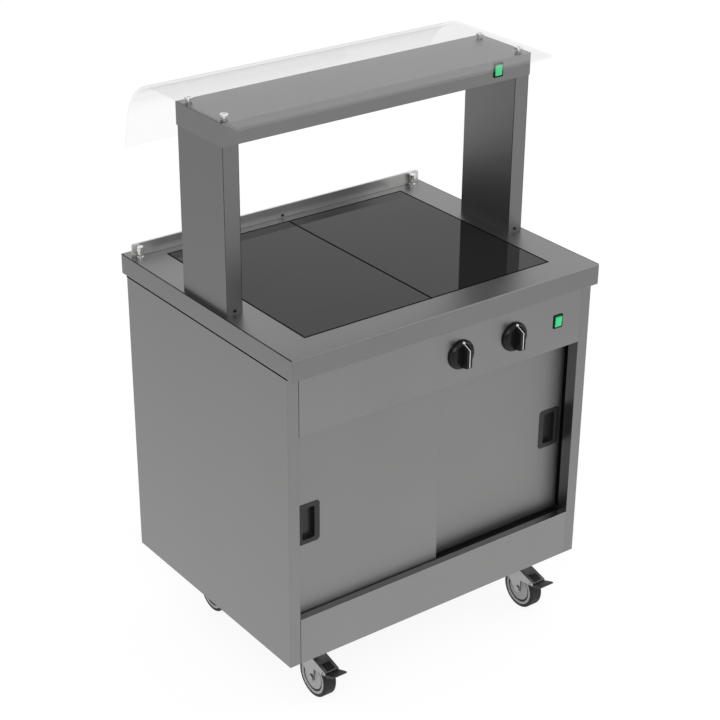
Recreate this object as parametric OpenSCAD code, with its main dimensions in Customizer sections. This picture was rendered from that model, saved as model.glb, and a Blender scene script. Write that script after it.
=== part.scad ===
// Heated servery counter on castors: a hot cupboard with sliding doors, two hot plates in its
// worktop, and a lamp gantry that carries a curved serving glass.
// Origin: floor level, middle of the whole object. X is the width, Y runs from the staff side
// (doors and knobs, at -Y) to the customer side, Z is up.

/* [Worktop] */
// Width of the worktop
top_w = 825; // [800:5:960]
// Depth of the worktop, front to back
top_d = 670; // [650:5:760]
// Height of the worktop above the floor
top_z = 900; // [885:5:940]
// Depth of the folded apron round the worktop
apron_h = 48; // [40:1:60]
// Width of the lip folded inward at the foot of the apron
apron_lip = 15; // [8:1:18]
// Thickness of the worktop sheet
top_t = 1.5; // [1:0.1:2]

/* [Hot plates] */
// Distance from the worktop's sides to the opening for the plates
plate_side = 83; // [75:1:110]
// Distance from that opening to the worktop's rear edge
plate_rear = 62; // [56:1:110]
// Thickness of a hot plate
plate_t = 6; // [4:0.5:8]
// Set-back of the plates from the front edge of the worktop
plate_setback = 75; // [70:1:95]
// Width of the black seal round the plates
seal_w = 1.5; // [1:0.1:3]
// Width of the seal between the two plates
joint_w = 4; // [2:0.5:8]
// Diameter of the heating element rod
element_d = 8; // [6:0.5:10]

/* [Cabinet] */
// Set-back of the cabinet front from the worktop edge
face_inset = 20; // [18:1:26]
// Set-back of the cabinet sides from the worktop edge
side_inset = 1; // [1:0.5:6]
// Set-back of the cabinet back from the worktop edge
rear_inset = 19; // [19:1:24]
// Height of the cabinet's underside above the floor
base_z = 150; // [146:1:170]
// Thickness of the cabinet sheet
sheet = 1.2; // [0.8:0.1:1.5]
// Width of the upright flanges beside the doors
flange_w = 28; // [22:1:36]
// Depth that those flanges turn back inward
return_d = 30; // [18:1:36]
// Height of the control panel that shows below the apron
control_h = 141; // [125:1:160]
// Height of the front panel below the doors
lower_h = 113; // [100:1:130]
// Depth of the ledge in front of the doors
ledge_d = 20; // [14:1:20]
// Distance from worktop edge to the inside of the cupboard, each side
liner_inset = 50; // [40:1:60]
// Thickness of the insulation at the cupboard back
back_pad = 26; // [20:1:40]
// Height of the middle shelf above the cupboard floor
shelf_up = 225; // [150:5:300]

/* [Doors] */
// Thickness of a sliding door
door_t = 16; // [12:1:18]
// Set-back of the front door from the cabinet face
door_inset = 23; // [23:1:28]
// Gap between the two doors
door_gap = 3; // [2.5:0.1:5]
// Overlap of the two closed doors
door_overlap = 11; // [4:0.5:40]
// Width of a handle cup
cup_w = 60; // [50:1:70]
// Height of a handle cup
cup_h = 99; // [80:1:120]
// Height of a handle cup's middle above the sill
cup_up = 220.5; // [150:0.5:300]
// Depth of the finger recess
cup_deep = 11; // [8:0.5:11]

/* [Controls] */
// Diameter of a knob's skirt
knob_d = 68; // [60:1:70]
// Reach of a knob's grip in front of the panel
knob_reach = 31; // [24:1:36]
// Distance between the two knobs
knob_pitch = 150; // [110:1:160]
// Distance from the worktop's right side to the middle of the knob pair
knobs_in = 299; // [298:1:332]
// Drop from the foot of the apron to the knob middles
knob_drop = 73.5; // [60:0.5:85]
// Width of a switch bezel
bezel_w = 25.5; // [24:0.5:34]
// Height of a switch bezel
bezel_h = 32; // [30:0.5:36]
// Distance from the worktop's right side to the switch in the control panel
switch_in = 96; // [84:0.5:112]

/* [Gantry] */
// Height of the lower edge of the lamp header above the worktop
gantry_h = 369; // [330:1:450]
// Height of the lamp header
header_h = 50; // [46:1:70]
// Depth of the posts, front to back
post_d = 170; // [150:1:200]
// Width of a post
post_w = 38.5; // [30:0.5:50]
// Set-back of the posts from the worktop's sides
post_inset = 10.5; // [6:0.5:20]
// Set-back of the posts from the worktop's front edge
post_y = 251; // [240:1:280]
// Thickness of the serving glass
glass_t = 6; // [5:1:8]
// Outer radius of the bend in the serving glass
glass_r = 125; // [100:1:140]
// Angle that the glass turns through at its bend
glass_turn = 75.5; // [60:0.5:85]
// Length of the straight drop of the glass below the bend
glass_drop = 76; // [50:1:120]
// Height of the upstand strip along the customer edge
strip_h = 31; // [20:1:40]

/* [Castors] */
// Diameter of a castor wheel
wheel_d = 100; // [98:0.5:100]
// Width of a castor wheel
wheel_w = 31; // [26:0.5:31]
// Distance that the wheel trails behind its swivel pin
trail = 35; // [32:0.5:35]
// Distance from the worktop's sides to the swivel pins, before the shift of the set
castor_side = 107.25; // [93:0.25:160]
// Distance from the worktop's rear edge to the rear swivel pins
castor_rear = 137; // [126:1:176]
// Distance from the worktop's front edge to the front swivel pins
castor_front = 114; // [113:1:125]

/* [Hidden] */
$fn = 64;
seat = 0.3;
over = 1;

// Frame of the counter: planes of the worktop and the cabinet
knob_past = knob_reach - face_inset;
y_front = (knob_past - top_d) / 2;
y_rear = y_front + top_d;
face_y = y_front + face_inset;
back_y = y_rear - rear_inset;
top_x = top_w / 2;
cab_x = top_x - side_inset;
open_x = cab_x - flange_w;
apron_z = top_z - apron_h;
cab_top = apron_z - seat;
control_z = apron_z - control_h;
sill_z = base_z + lower_h;
in_x = cab_x - sheet - seat;
in_front = face_y + sheet + seat;
in_back = back_y - 2 * sheet - 2 * seat;
floor_top = base_z + sheet;
tray_lip = 18;

// Doors and their tracks
door_side = 2;
door_hide = 2;
door_w = (2 * open_x - door_side + door_hide + door_overlap) / 2;
door_skin = 1;
door_head = 14;
door_front_y = face_y + door_inset;
door_rear_y = door_front_y + door_t + door_gap;
left_door_x = -open_x + door_side;
right_door_x = open_x + door_hide - door_w;
track_t = 1.2;
track_drop = 12;
track_out = 1;
track_clear = 0.9;
head_clear = 7;
shelf_fold_z = sill_z - track_drop;
track_z = shelf_fold_z + sheet + seat;
door_z = track_z + track_t + seat;
door_top = control_z + door_head;
head_z = door_top + head_clear;
track_front = door_front_y - track_clear - track_t;
track_back = door_rear_y + door_t + track_clear + track_t;
fold_back = track_back;
control_return = 18;

// Finger cup of a door
cup_rim = 14;
cup_r = 8;
cup_wall = 2;
cup_proud = 1;
left_cup_in = 5;
right_cup_in = 7.5;
cup_fit = 0.4;

// Cupboard interior
liner_x = top_x - liner_inset;
liner_front = track_back + seat;
liner_back = in_back - back_pad - sheet;
roof_z = head_z + track_t + seat;
roof_pad = 30;
roof_pad_front = 120;
rest_w = 12;
shelf_lip = 20;
shelf_air = 3;
shelf_front = 14;
floor_lip = 10;
slot_w = 8;
slot_rows = 3;
slot_cols = 5;
slot_side = 102.5;
slot_end = 139.5;
slot_gap = 40;
slot_pitch_x = 2 * (liner_x - slot_side) / (slot_cols - 1);
slot_pitch_y = (liner_back - liner_front - sheet - seat - 2 * slot_end) / (slot_rows - 1);
slot_l = slot_pitch_x - slot_gap;

// Plates and elements
opening_w = top_w - 2 * plate_side;
opening_d = top_d - plate_setback - plate_rear;
plate_w = (opening_w - joint_w) / 2 - seal_w;
plate_d = opening_d - 2 * seal_w;
opening_y = y_front + plate_setback;
plate_y = opening_y + seal_w;
plate_x = joint_w / 2;
ledge_w = 12;
bridge_w = 30;
ledge_z = top_z - plate_t - seat;
element_rows = 6;
element_side = 78;
element_bend = (plate_w - 2 * element_side) / (element_rows - 1);
element_edge = 60;
heater_up = 62;
cupboard_heater_z = base_z + heater_up;
heater_rows = 4;
heater_bend = 50;
heater_side = 102.5;
heater_l = 2 * (liner_x - heater_side);
foot_w = 20;
foot_t = 2;

// Controls
knobs_x = top_x - knobs_in;
switch_x = top_x - switch_in;
knob_z = apron_z - knob_drop;
spindle_r = 3;
spindle_hole = 4;
thermo_w = 44;
thermo_d = 26;
knob_gap = 0.5;
grip_w = 15;
bezel_t = 2;
bezel_rim = 3;
key_fit = 0.8;
key_wall = 1.2;
key_depth = 17;
key_pivot = 4;
key_proud = 4;
key_tilt = 5;
key_w = bezel_w - 2 * (bezel_rim + key_fit);
key_h = bezel_h - 2 * (bezel_rim + key_fit + seat) - seat;
key_hole_w = key_w + 2 * key_fit;
key_hole_h = key_h + 2 * (key_fit + seat);
switch_rise = 1.5;
switch_z = knob_z + switch_rise;
switch_case_w = key_hole_w + 2 * key_wall;
switch_case_h = key_hole_h + key_wall;
tag_w = 6;
tag_l = 8;
tag_t = 0.8;

// Gantry
header_t = 1.2;
header_out = header_t + seat;
header_z = top_z + gantry_h;
header_top = header_z + header_h;
post_x = top_x - post_inset;
post_t = 1.5;
header_x = post_x + header_out;
header_y = y_front + post_y - header_out;
header_d = post_d + 2 * header_out;
header_switch_in = 93;
header_switch_x = header_x - header_switch_in;
header_switch_up = 28;
header_switch_z = header_z + header_switch_up;
reflector_w = 92;
reflector_h = 20;
lamp_d = 10;
lamp_up = 9;
lamp_z = header_z + lamp_up;
lamp_gap = 40;
lamp_side = 83.5;
lamp_l = header_x - lamp_side - lamp_gap / 2;
lamp_cap_d = 14;
lamp_cap_l = 18;
clip_t = 1.5;
clip_w = 22;
collar_h = 4;
collar_r = 7;
bolt_r = 4;
bolt_fit = 0.3;
bolt_cap_r = 9;
bolt_cap_h = 3.5;
bolt_down = 12;
socket_d = 7;
socket_deep = 2;
fixing_side = 29;
fixing_pitch_x = top_w - 2 * fixing_side;
fixing_shift = -5;
bolt_in = 13.5;
bolt_rear = 28.5;
bolt_pitch_y = header_d - bolt_in - bolt_rear;
glass_side = 3.5;
glass_x = top_x - glass_side;
glass_z = header_top + collar_h;
glass_fore = 66.5;
glass_aft = 71.5;
glass_front = header_y - glass_fore;
bend_y = header_y + header_d + glass_aft;
bend_z = glass_z + glass_t - glass_r;
bend_steps = 24;

// Upstand strip along the customer edge
strip_t = 5;
strip_in = 9;
strip_set = 32;
strip_y = y_rear - strip_set - strip_t;
strip_r = 8;
pillar_r = 8;
pillar_h = 27;
screw_r = 3.5;
screw_t = 1.6;
post_screw_up = 8;
strip_screw_up = 6;

// Castors, in a frame at the floor below the swivel pin; the wheel trails towards -Y
castor_shift = 8.5;
castor_pitch_x = top_w - 2 * castor_side;
castor_pitch_y = top_d - castor_front - castor_rear;
castor_top = 128;
plate_wide = 95;
plate_long = 75;
castor_plate_t = 3.2;
castor_bolt_x = 36;
castor_bolt_y = 28;
castor_bolt_r = 6;
castor_bolt_h = 4;
channel_w = 92;
channel_t = 2;
channel_end = 25;
channel_base = castor_top + seat;
pin_r = 6;
run_fit = 0.05;
axle_r = 6;
axle_end = 3;
nut_d = 17;
wheel_r = wheel_d / 2;
tyre_t = 8;
rim_w = 6.5;
rim_r = wheel_r - tyre_t;
groove_r = rim_r - rim_w;
groove_w = 4.5;
web_r = groove_r - groove_w;
groove_in = 7;
boss_r = 13;
web_in = 1;
tyre_round = 3;
wheel_air = 1;
fork_in = wheel_w / 2 + wheel_air;
fork_t = 2.5;
fork_out = fork_in + fork_t;
hood_t = 2;
hood_reach = 54.3;
hood_rise = 40.9;
crown_reach = 10;
crown_rise = 16.5;
hood_tip_y = -trail - hood_reach;
hood_tip_z = wheel_r + hood_rise;
hood_crown_y = -trail + crown_reach;
crown_z = hood_tip_z + crown_rise;
crown_back = 26;
heel_drop = 11;
fork_boss_r = 10;
heel_reach = 15;
toe_reach = 9;
toe_rise = 26.5;
toe_lift = 7;
race_r = 26;
race_h = 8.6;
race_gap = 0.3;
top_race_r = 22;
pad_w = 20;
window_w = 22;
window_start = 50.7;
window_end = 28;
window_near = -trail - window_start;
window_far = -trail - window_end;
pedal_w = 38;
pedal_neck_w = 30;
pedal_reach = 44;
pedal_rise = 37;
pedal_y = -trail - pedal_reach;
pedal_z = wheel_r + pedal_rise;
pedal_pin_r = 2;
pedal_boss_r = 4;
lip_reach = 39.8;
lip_rise = 9.4;
lip_t = 3.5;
neck_reach = 9;
neck_rise = 0.6;
pad_start = -5;
pad_end = 15;
pad_near_rise = 5;
pad_far_rise = 10;
pad_under = 3.4;

// Service pieces
gland_side = 162.5;
gland_x = top_x - gland_side;
gland_up = 55;
gland_z = base_z + gland_up;
gland_r = 10;
gland_bore = 5;
gland_nut_d = 26;
gland_nut_t = 5;
gland_out = 14;
terminal_w = 60;
terminal_d = 22;
terminal_h = 30;
terminal_side = 60;
vent_w = 4;
vent_l = 60;
vent_rows = 5;
vent_pitch = 12;
vent_drop = 90;
vent_z = apron_z - vent_drop;

// Colours
steel = "#8f9193";
bright = "#c9cbcd";
black = "#1c1c1e";
dark_plate = "#55585b";
wool = "#d9cfa3";

// A block between two limits on each axis
module block(x, y, z) {
  translate([x[0], y[0], z[0]])
    cube([x[1] - x[0], y[1] - y[0], z[1] - z[0]]);
}

// The same outline on both sides of the middle plane
module both_sides() {
  children();
  mirror([1, 0, 0]) children();
}

// A side outline, points as [Y, Z], drawn out along X and centred
module side_outline(width) {
  rotate([90, 0, 90])
    linear_extrude(height = width, center = true)
      children();
}

// A front outline, points as [X, Z], drawn out from the plane y towards +Y
module front_outline(y, depth) {
  translate([0, y + depth, 0])
    rotate([90, 0, 0])
      linear_extrude(height = depth)
        children();
}

// A rectangle with round corners, centred
module round_rect(w, h, r) {
  square([w - 2 * r, h], center = true);
  square([w, h - 2 * r], center = true);
  for (sx = [-1, 1])
    for (sy = [-1, 1])
      translate([sx * (w / 2 - r), sy * (h / 2 - r)])
        circle(r = r);
}

// An axis along X at a height
module along_x(x, r, length) {
  translate([x, 0, 0])
    rotate([0, 90, 0])
      cylinder(r = r, h = length);
}

// Worktop: folded pan with a stepped seat for the two hot plates
module worktop() {
  opening_x = opening_w / 2;
  opening_back = opening_y + opening_d;
  color(steel)
  difference() {
    union() {
      difference() {
        block([-top_x, top_x], [y_front, y_rear], [apron_z, top_z]);
        block([-top_x + top_t, top_x - top_t], [y_front + top_t, y_rear - top_t],
              [apron_z + top_t, top_z - top_t]);
        block([-top_x + apron_lip, top_x - apron_lip],
              [y_front + apron_lip, y_rear - apron_lip],
              [apron_z - over, apron_z + top_t + over]);
      }
      block([-opening_x - top_t, opening_x + top_t], [opening_y - top_t, opening_back + top_t],
            [ledge_z - top_t, top_z]);
    }
    block([-opening_x, opening_x], [opening_y, opening_back], [ledge_z, top_z + over]);
    for (side = [-1, 1])
      block([side * opening_x / 2 - opening_x / 2 + ledge_side(-side),
             side * opening_x / 2 + opening_x / 2 - ledge_side(side)],
            [opening_y + ledge_w, opening_back - ledge_w],
            [ledge_z - top_t - over, ledge_z + over]);
  }
}

// Width of the seat on the outer side of a plate, or of half the bridge below the joint
function ledge_side(outer) = outer > 0 ? ledge_w : bridge_w / 2;

module hot_plate(side) {
  color(dark_plate)
    block([side > 0 ? plate_x : -plate_x - plate_w, side > 0 ? plate_x + plate_w : -plate_x],
          [plate_y, plate_y + plate_d], [top_z - plate_t, top_z]);
}

module hot_plate_left() {
  hot_plate(-1);
}

module hot_plate_right() {
  hot_plate(1);
}

// Seal round and between the plates
module plate_seal() {
  color(black)
  difference() {
    block([-opening_w / 2, opening_w / 2], [opening_y, opening_y + opening_d],
          [top_z - plate_t, top_z - seat]);
    for (side = [-1, 1])
      block([side * (plate_x + plate_w / 2) - plate_w / 2,
             side * (plate_x + plate_w / 2) + plate_w / 2],
            [plate_y, plate_y + plate_d], [top_z - plate_t - over, top_z + over]);
  }
}

// A rod that runs to and fro in a flat plane: straight runs along Y, joined by half rings
module serpentine(rod_d, rows, bend, run) {
  first_x = -(rows - 1) * bend / 2;
  for (row = [0 : rows - 1])
    translate([first_x + row * bend, -run / 2, 0])
      rotate([-90, 0, 0])
        cylinder(d = rod_d, h = run);
  for (row = [0 : rows - 2])
    translate([first_x + (row + 0.5) * bend, (row % 2 == 0 ? 1 : -1) * run / 2, 0])
      rotate([0, 0, row % 2 == 0 ? 0 : 180])
        rotate_extrude(angle = 180)
          translate([bend / 2, 0])
            circle(d = rod_d);
}

// Heating rods clamped below each hot plate
module plate_elements() {
  run = plate_d - 2 * element_edge;
  color(steel)
    for (side = [-1, 1])
      translate([side * (plate_x + plate_w / 2), plate_y + plate_d / 2,
                 top_z - plate_t - seat - element_d / 2])
        serpentine(element_d, element_rows, element_bend, run);
}

// Cabinet side with its front flange, its return beside the doors and its back flange
module side_panel() {
  tall = [base_z, cab_top];
  color(steel) {
    block([-cab_x, -cab_x + sheet], [face_y, back_y], tall);
    block([-cab_x, -open_x], [face_y, face_y + sheet], tall);
    block([-open_x - sheet, -open_x], [face_y, face_y + return_d], tall);
    block([-cab_x, -open_x], [back_y - sheet, back_y], tall);
  }
}

module left_side_panel() {
  side_panel();
}

module right_side_panel() {
  mirror([1, 0, 0]) side_panel();
}

// Cabinet back, with vent slots near its top and a hole for the cable gland
module back_panel() {
  y = back_y - 2 * sheet - seat;
  color(steel)
  difference() {
    block([-in_x, in_x], [y, y + sheet], [base_z, cab_top]);
    for (row = [0 : vent_rows - 1])
      block([-vent_l / 2, vent_l / 2], [y - over, y + sheet + over],
            [vent_z + row * vent_pitch, vent_z + row * vent_pitch + vent_w]);
    translate([gland_x, y - over, gland_z])
      rotate([-90, 0, 0])
        cylinder(r = gland_r + seat, h = sheet + 2 * over);
  }
}

// Control panel below the apron, with holes for the knobs and the switch
module control_panel() {
  half = open_x - seat;
  color(steel)
  difference() {
    union() {
      block([-half, half], [face_y, face_y + sheet], [control_z, cab_top]);
      block([-half, half], [face_y, face_y + control_return], [control_z, control_z + sheet]);
    }
    for (side = [-1, 1])
      translate([knobs_x + side * knob_pitch / 2, face_y - over, knob_z])
        rotate([-90, 0, 0])
          cylinder(r = spindle_hole, h = sheet + 2 * over);
    switch_hole(switch_x, face_y, switch_z);
  }
}

// Hole for a switch case through a sheet whose face is at y
module switch_hole(x, y, z) {
  block([x - switch_case_w / 2 - seat, x + switch_case_w / 2 + seat],
        [y - over, y + sheet + over],
        [z - switch_case_h / 2 - seat, z + switch_case_h / 2 + seat]);
}

// Front panel below the doors: face, ledge, step down and the fold that carries the track
module lower_front_panel() {
  half = open_x - seat;
  ledge_back = face_y + ledge_d;
  color(steel) {
    block([-half, half], [face_y, face_y + sheet], [base_z, sill_z]);
    block([-half, half], [face_y, ledge_back], [sill_z - sheet, sill_z]);
    block([-half, half], [ledge_back - sheet, ledge_back], [shelf_fold_z, sill_z]);
    block([-half, half], [ledge_back - sheet, fold_back], [shelf_fold_z, shelf_fold_z + sheet]);
  }
}

// Bottom of the cabinet with upturned edges, and two channels that carry the castors
module base_tray() {
  notch = face_y + return_d + seat;
  half = open_x - seat;
  color(steel)
  union() {
    block([-half, half], [in_front, in_back], [base_z, floor_top]);
    block([-in_x, in_x], [notch, in_back], [base_z, floor_top]);
    block([-half, half], [in_front, in_front + sheet], [base_z, base_z + tray_lip]);
    block([-in_x, in_x], [in_back - sheet, in_back], [base_z, base_z + tray_lip]);
    for (row = [0, 1])
      castor_channel(y_front + castor_front + row * castor_pitch_y);
  }
}

// A channel across the counter, open at the top and closed by the tray above it
module castor_channel(y) {
  channel_x = cab_x - channel_end;
  difference() {
    block([-channel_x, channel_x], [y - channel_w / 2, y + channel_w / 2],
          [channel_base, base_z + sheet / 2]);
    block([-channel_x - over, channel_x + over],
          [y - channel_w / 2 + channel_t, y + channel_w / 2 - channel_t],
          [channel_base + channel_t, base_z]);
  }
}

// Side wall of the cupboard with the flange that closes the gap to the cabinet side
module side_liner() {
  tall = [floor_top + seat, roof_z - seat];
  color(bright) {
    block([-liner_x - sheet, -liner_x], [liner_front, liner_back], tall);
    block([-in_x, -liner_x], [liner_front, liner_front + sheet], tall);
  }
}

module left_liner() {
  side_liner();
}

module right_liner() {
  mirror([1, 0, 0]) side_liner();
}

module back_liner() {
  color(bright)
    block([-liner_x - sheet, liner_x + sheet], [liner_back + seat, liner_back + seat + sheet],
          [floor_top + seat, roof_z - seat]);
}

// Roof of the cupboard, which also carries the upper door track
module roof_liner() {
  color(bright)
    block([-in_x, in_x], [face_y + return_d + seat, in_back], [roof_z, roof_z + sheet]);
}

// Lift-out floor of the cupboard, with slots that let the heat rise
module cupboard_floor() {
  half = liner_x - seat;
  front = liner_front + sheet + seat;
  middle_y = (front + liner_back) / 2;
  color(bright)
  difference() {
    union() {
      block([-half, half], [front, liner_back - seat], [sill_z - sheet, sill_z]);
      block([-half, half], [front, front + sheet], [sill_z - floor_lip, sill_z]);
    }
    for (column = [0 : slot_cols - 1])
      for (row = [0 : slot_rows - 1])
        translate([(column - (slot_cols - 1) / 2) * slot_pitch_x,
                   middle_y + (row - (slot_rows - 1) / 2) * slot_pitch_y, sill_z - sheet / 2])
          cube([slot_l, slot_w, sheet + 2 * over], center = true);
  }
}

// Insulating slabs at the sides, back and roof of the cupboard
module insulation() {
  wall_in = liner_x + sheet + seat;
  front = liner_front + sheet + seat;
  pad_top = roof_z - seat;
  color(wool) {
    both_sides()
      block([wall_in, in_x], [front, in_back - sheet - seat], [floor_top + seat, pad_top]);
    block([-wall_in + seat, wall_in - seat], [liner_back + 2 * seat + sheet, in_back - seat],
          [sill_z, pad_top]);
    block([-in_x, in_x], [face_y + roof_pad_front, in_back],
          [roof_z + sheet, roof_z + sheet + roof_pad]);
  }
}

// Removable shelf with turned-down edges
module middle_shelf() {
  z = sill_z + shelf_up;
  half = liner_x - shelf_air;
  front = liner_front + shelf_front;
  color(bright)
  difference() {
    block([-half, half], [front, liner_back - shelf_air], [z - shelf_lip, z]);
    block([-half + sheet, half - sheet], [front + sheet, liner_back - shelf_air - sheet],
          [z - shelf_lip - over, z - sheet]);
  }
}

// Angle strips on the cupboard sides below the shelf and below the floor
module shelf_rests() {
  color(bright)
    for (top = [sill_z + shelf_up - shelf_lip - seat, sill_z - sheet - seat])
      both_sides() {
        block([liner_x - rest_w, liner_x], [liner_front + shelf_front, liner_back - shelf_air],
              [top - sheet, top]);
        block([liner_x - sheet, liner_x], [liner_front + shelf_front, liner_back - shelf_air],
              [top - rest_w, top]);
      }
}

// Outline of a double track: a web and three legs; up is +1 for a floor track, -1 for a head track
module track_outline(web_z, leg_end, up) {
  mid = door_front_y + door_t + door_gap / 2;
  low = min(web_z, leg_end);
  high = max(web_z, leg_end);
  for (leg = [track_front, mid - track_t / 2, track_back - track_t])
    translate([leg, low])
      square([track_t, high - low]);
  translate([track_front, up > 0 ? web_z : web_z - track_t])
    square([track_back - track_front, track_t]);
}

module top_track() {
  color(bright)
    side_outline(2 * (open_x - seat))
      track_outline(head_z + track_t, control_z + sheet + track_out, -1);
}

module bottom_track() {
  color(bright)
    side_outline(2 * (open_x - seat))
      track_outline(track_z, sill_z - track_out, 1);
}

// Heating rod below the cupboard floor, on feet that stand on the bottom tray
module cupboard_heater() {
  middle_y = (liner_front + liner_back) / 2;
  color(steel)
  translate([0, middle_y, 0]) {
    translate([0, 0, cupboard_heater_z])
      rotate([0, 0, 90])
        serpentine(element_d, heater_rows, heater_bend, heater_l);
    for (x = [-heater_l / 3, heater_l / 3])
      block([x - foot_w / 2, x + foot_w / 2],
            [-heater_rows * heater_bend / 2, heater_rows * heater_bend / 2],
            [cupboard_heater_z - element_d / 2 - foot_t, cupboard_heater_z - element_d / 4]);
    for (x = [-heater_l / 3, heater_l / 3])
      for (side = [-1, 1])
        block([x - foot_w / 2, x + foot_w / 2],
              [side * heater_rows * heater_bend / 2 - foot_t / 2,
               side * heater_rows * heater_bend / 2 + foot_t / 2],
              [floor_top + seat, cupboard_heater_z - element_d / 4]);
  }
}

// Thermostat bodies behind the control panel, each with a bore for its knob's spindle
module thermostats() {
  color(bright)
    for (side = [-1, 1])
      translate([knobs_x + side * knob_pitch / 2, face_y + sheet + seat, knob_z])
        difference() {
          block([-thermo_w / 2, thermo_w / 2], [0, thermo_d], [-thermo_w / 2, thermo_w / 2]);
          translate([0, -over, 0])
            rotate([-90, 0, 0])
              cylinder(r = spindle_r + run_fit, h = thermo_d + 2 * over);
        }
}

// Terminal block on the inner face of the cabinet back
module terminal_block() {
  x = gland_x - terminal_side;
  color("white")
    block([x - terminal_w, x], [in_back - terminal_d, in_back],
          [gland_z - terminal_h / 2, gland_z + terminal_h / 2]);
}

// Cable inlet: a bored stem through the cabinet back with a nut on each side
module cable_gland() {
  wall_y = back_y - 2 * sheet - seat;
  color(black)
  translate([gland_x, wall_y, gland_z])
    rotate([-90, 0, 0])
      difference() {
        union() {
          translate([0, 0, -gland_nut_t - seat - sheet])
            cylinder(r = gland_r, h = gland_out + gland_nut_t + seat + 2 * sheet);
          translate([0, 0, sheet + seat])
            cylinder(d = gland_nut_d, h = gland_nut_t, $fn = 6);
          translate([0, 0, -gland_nut_t - seat])
            cylinder(d = gland_nut_d, h = gland_nut_t, $fn = 6);
        }
        translate([0, 0, -gland_nut_t - seat - sheet - over])
          cylinder(r = gland_bore, h = gland_out + gland_nut_t + 2 * sheet + 3 * over);
      }
}

// Switch housing: bezel, case with the pocket for the key, and contact tags
module bezel(x, y, z) {
  translate([x, y, z])
  difference() {
    union() {
      front_outline(-bezel_t, bezel_t) round_rect(bezel_w, bezel_h, bezel_t);
      block([-switch_case_w / 2, switch_case_w / 2], [-bezel_t / 2, key_depth + key_wall],
            [-switch_case_h / 2, switch_case_h / 2]);
      for (tag = [-1, 1])
        block([-tag_w / 2, tag_w / 2], [key_depth, key_depth + key_wall + tag_l],
              [tag * tag_w - tag_t / 2, tag * tag_w + tag_t / 2]);
    }
    block([-key_hole_w / 2, key_hole_w / 2], [-bezel_t - over, key_depth],
          [-key_hole_h / 2, key_hole_h / 2]);
  }
}

module rocker_bezels() {
  color(black) {
    bezel(switch_x, face_y, switch_z);
    bezel(header_switch_x, header_y, header_switch_z);
  }
}

// Switch key: flat lens in front, round back about its pivot, resting tilted to one side
module rocker_key(x, y, z) {
  color("#3f9a4c")
  translate([x, y + key_pivot, z])
    rotate([key_tilt, 0, 0])
      side_outline(key_w) {
        difference() {
          circle(d = key_h);
          translate([-key_h, -key_h / 2])
            square([key_h, key_h]);
        }
        translate([-key_pivot - key_proud, -key_h / 2])
          square([key_pivot + key_proud, key_h]);
      }
}

module panel_rocker() {
  rocker_key(switch_x, face_y, switch_z);
}

module header_rocker() {
  rocker_key(header_switch_x, header_y, header_switch_z);
}

// Control knob: a domed skirt, a straight grip bar and the spindle behind
module knob(x) {
  skirt_r = knob_d / 2;
  edge_share = 0.08;
  shoulder_share = 0.36;
  crown_share = 0.4;
  shoulder_r_share = 0.76;
  ridge_low_share = 0.64;
  ridge_high_share = 0.57;
  foot_low_share = 0.84;
  foot_high_share = 0.82;
  color(black)
  translate([x, face_y, knob_z])
    rotate([90, 0, 0]) {
      rotate_extrude()
        polygon([[0, knob_gap],
                 [skirt_r, knob_gap],
                 [skirt_r, edge_share * knob_reach],
                 [shoulder_r_share * skirt_r, shoulder_share * knob_reach],
                 [0, crown_share * knob_reach]]);
      side_outline(grip_w)
        polygon([[-foot_low_share * skirt_r, edge_share * knob_reach],
                 [-ridge_low_share * skirt_r, knob_reach],
                 [ridge_high_share * skirt_r, knob_reach],
                 [foot_high_share * skirt_r, shoulder_share * knob_reach],
                 [foot_high_share * skirt_r, edge_share * knob_reach]]);
      translate([0, 0, -sheet - seat - thermo_d])
        cylinder(r = spindle_r, h = sheet + seat + thermo_d + 2 * knob_gap);
    }
}

module left_knob() {
  knob(knobs_x - knob_pitch / 2);
}

module right_knob() {
  knob(knobs_x + knob_pitch / 2);
}

// Sliding door: a hollow panel with a hole for its finger cup
module door(x, y, cup_side) {
  color(steel)
  translate([x, y, 0])
  difference() {
    block([0, door_w], [0, door_t], [door_z, door_top]);
    block([door_skin, door_w - door_skin], [door_skin, door_t - door_skin],
          [door_z + door_skin, door_top - door_skin]);
    translate([cup_middle(cup_side), 0, sill_z + cup_up])
      front_outline(-over, door_skin + 2 * over)
        round_rect(cup_w - cup_rim + cup_fit, cup_h - cup_rim + cup_fit, cup_r);
  }
}

// Place of the cup's middle across a door: near its left or its right edge
function cup_middle(side) =
  side < 0 ? left_cup_in + cup_w / 2 : door_w - right_cup_in - cup_w / 2;

// Finger cup: a raised rim and a closed recess behind it
module cup(x, y, side) {
  color(black)
  translate([x + cup_middle(side), y, sill_z + cup_up])
  difference() {
    union() {
      front_outline(-cup_proud, cup_proud) round_rect(cup_w, cup_h, cup_r);
      front_outline(-cup_proud, cup_deep + cup_wall)
        round_rect(cup_w - cup_rim, cup_h - cup_rim, cup_r - cup_fit);
    }
    front_outline(-cup_proud - over, cup_deep + over)
      round_rect(cup_w - 2 * cup_rim, cup_h - cup_rim - 2 * cup_wall - cup_rim / 2, cup_r / 2);
  }
}

module left_door() {
  door(left_door_x, door_front_y, -1);
}

module left_door_cup() {
  cup(left_door_x, door_front_y, -1);
}

module right_door() {
  door(right_door_x, door_rear_y, 1);
}

module right_door_cup() {
  cup(right_door_x, door_rear_y, 1);
}

// Gantry post: a folded tube that stands on the worktop and ends inside the header
module post() {
  post_front = y_front + post_y;
  post_top = header_top - header_t - seat;
  color(steel)
  difference() {
    block([-post_x, -post_x + post_w], [post_front, post_front + post_d], [top_z, post_top]);
    block([-post_x + post_t, -post_x + post_w - post_t],
          [post_front + post_t, post_front + post_d - post_t],
          [top_z + post_t, post_top + over]);
  }
}

module left_post() {
  post();
}

module right_post() {
  mirror([1, 0, 0]) post();
}

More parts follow.
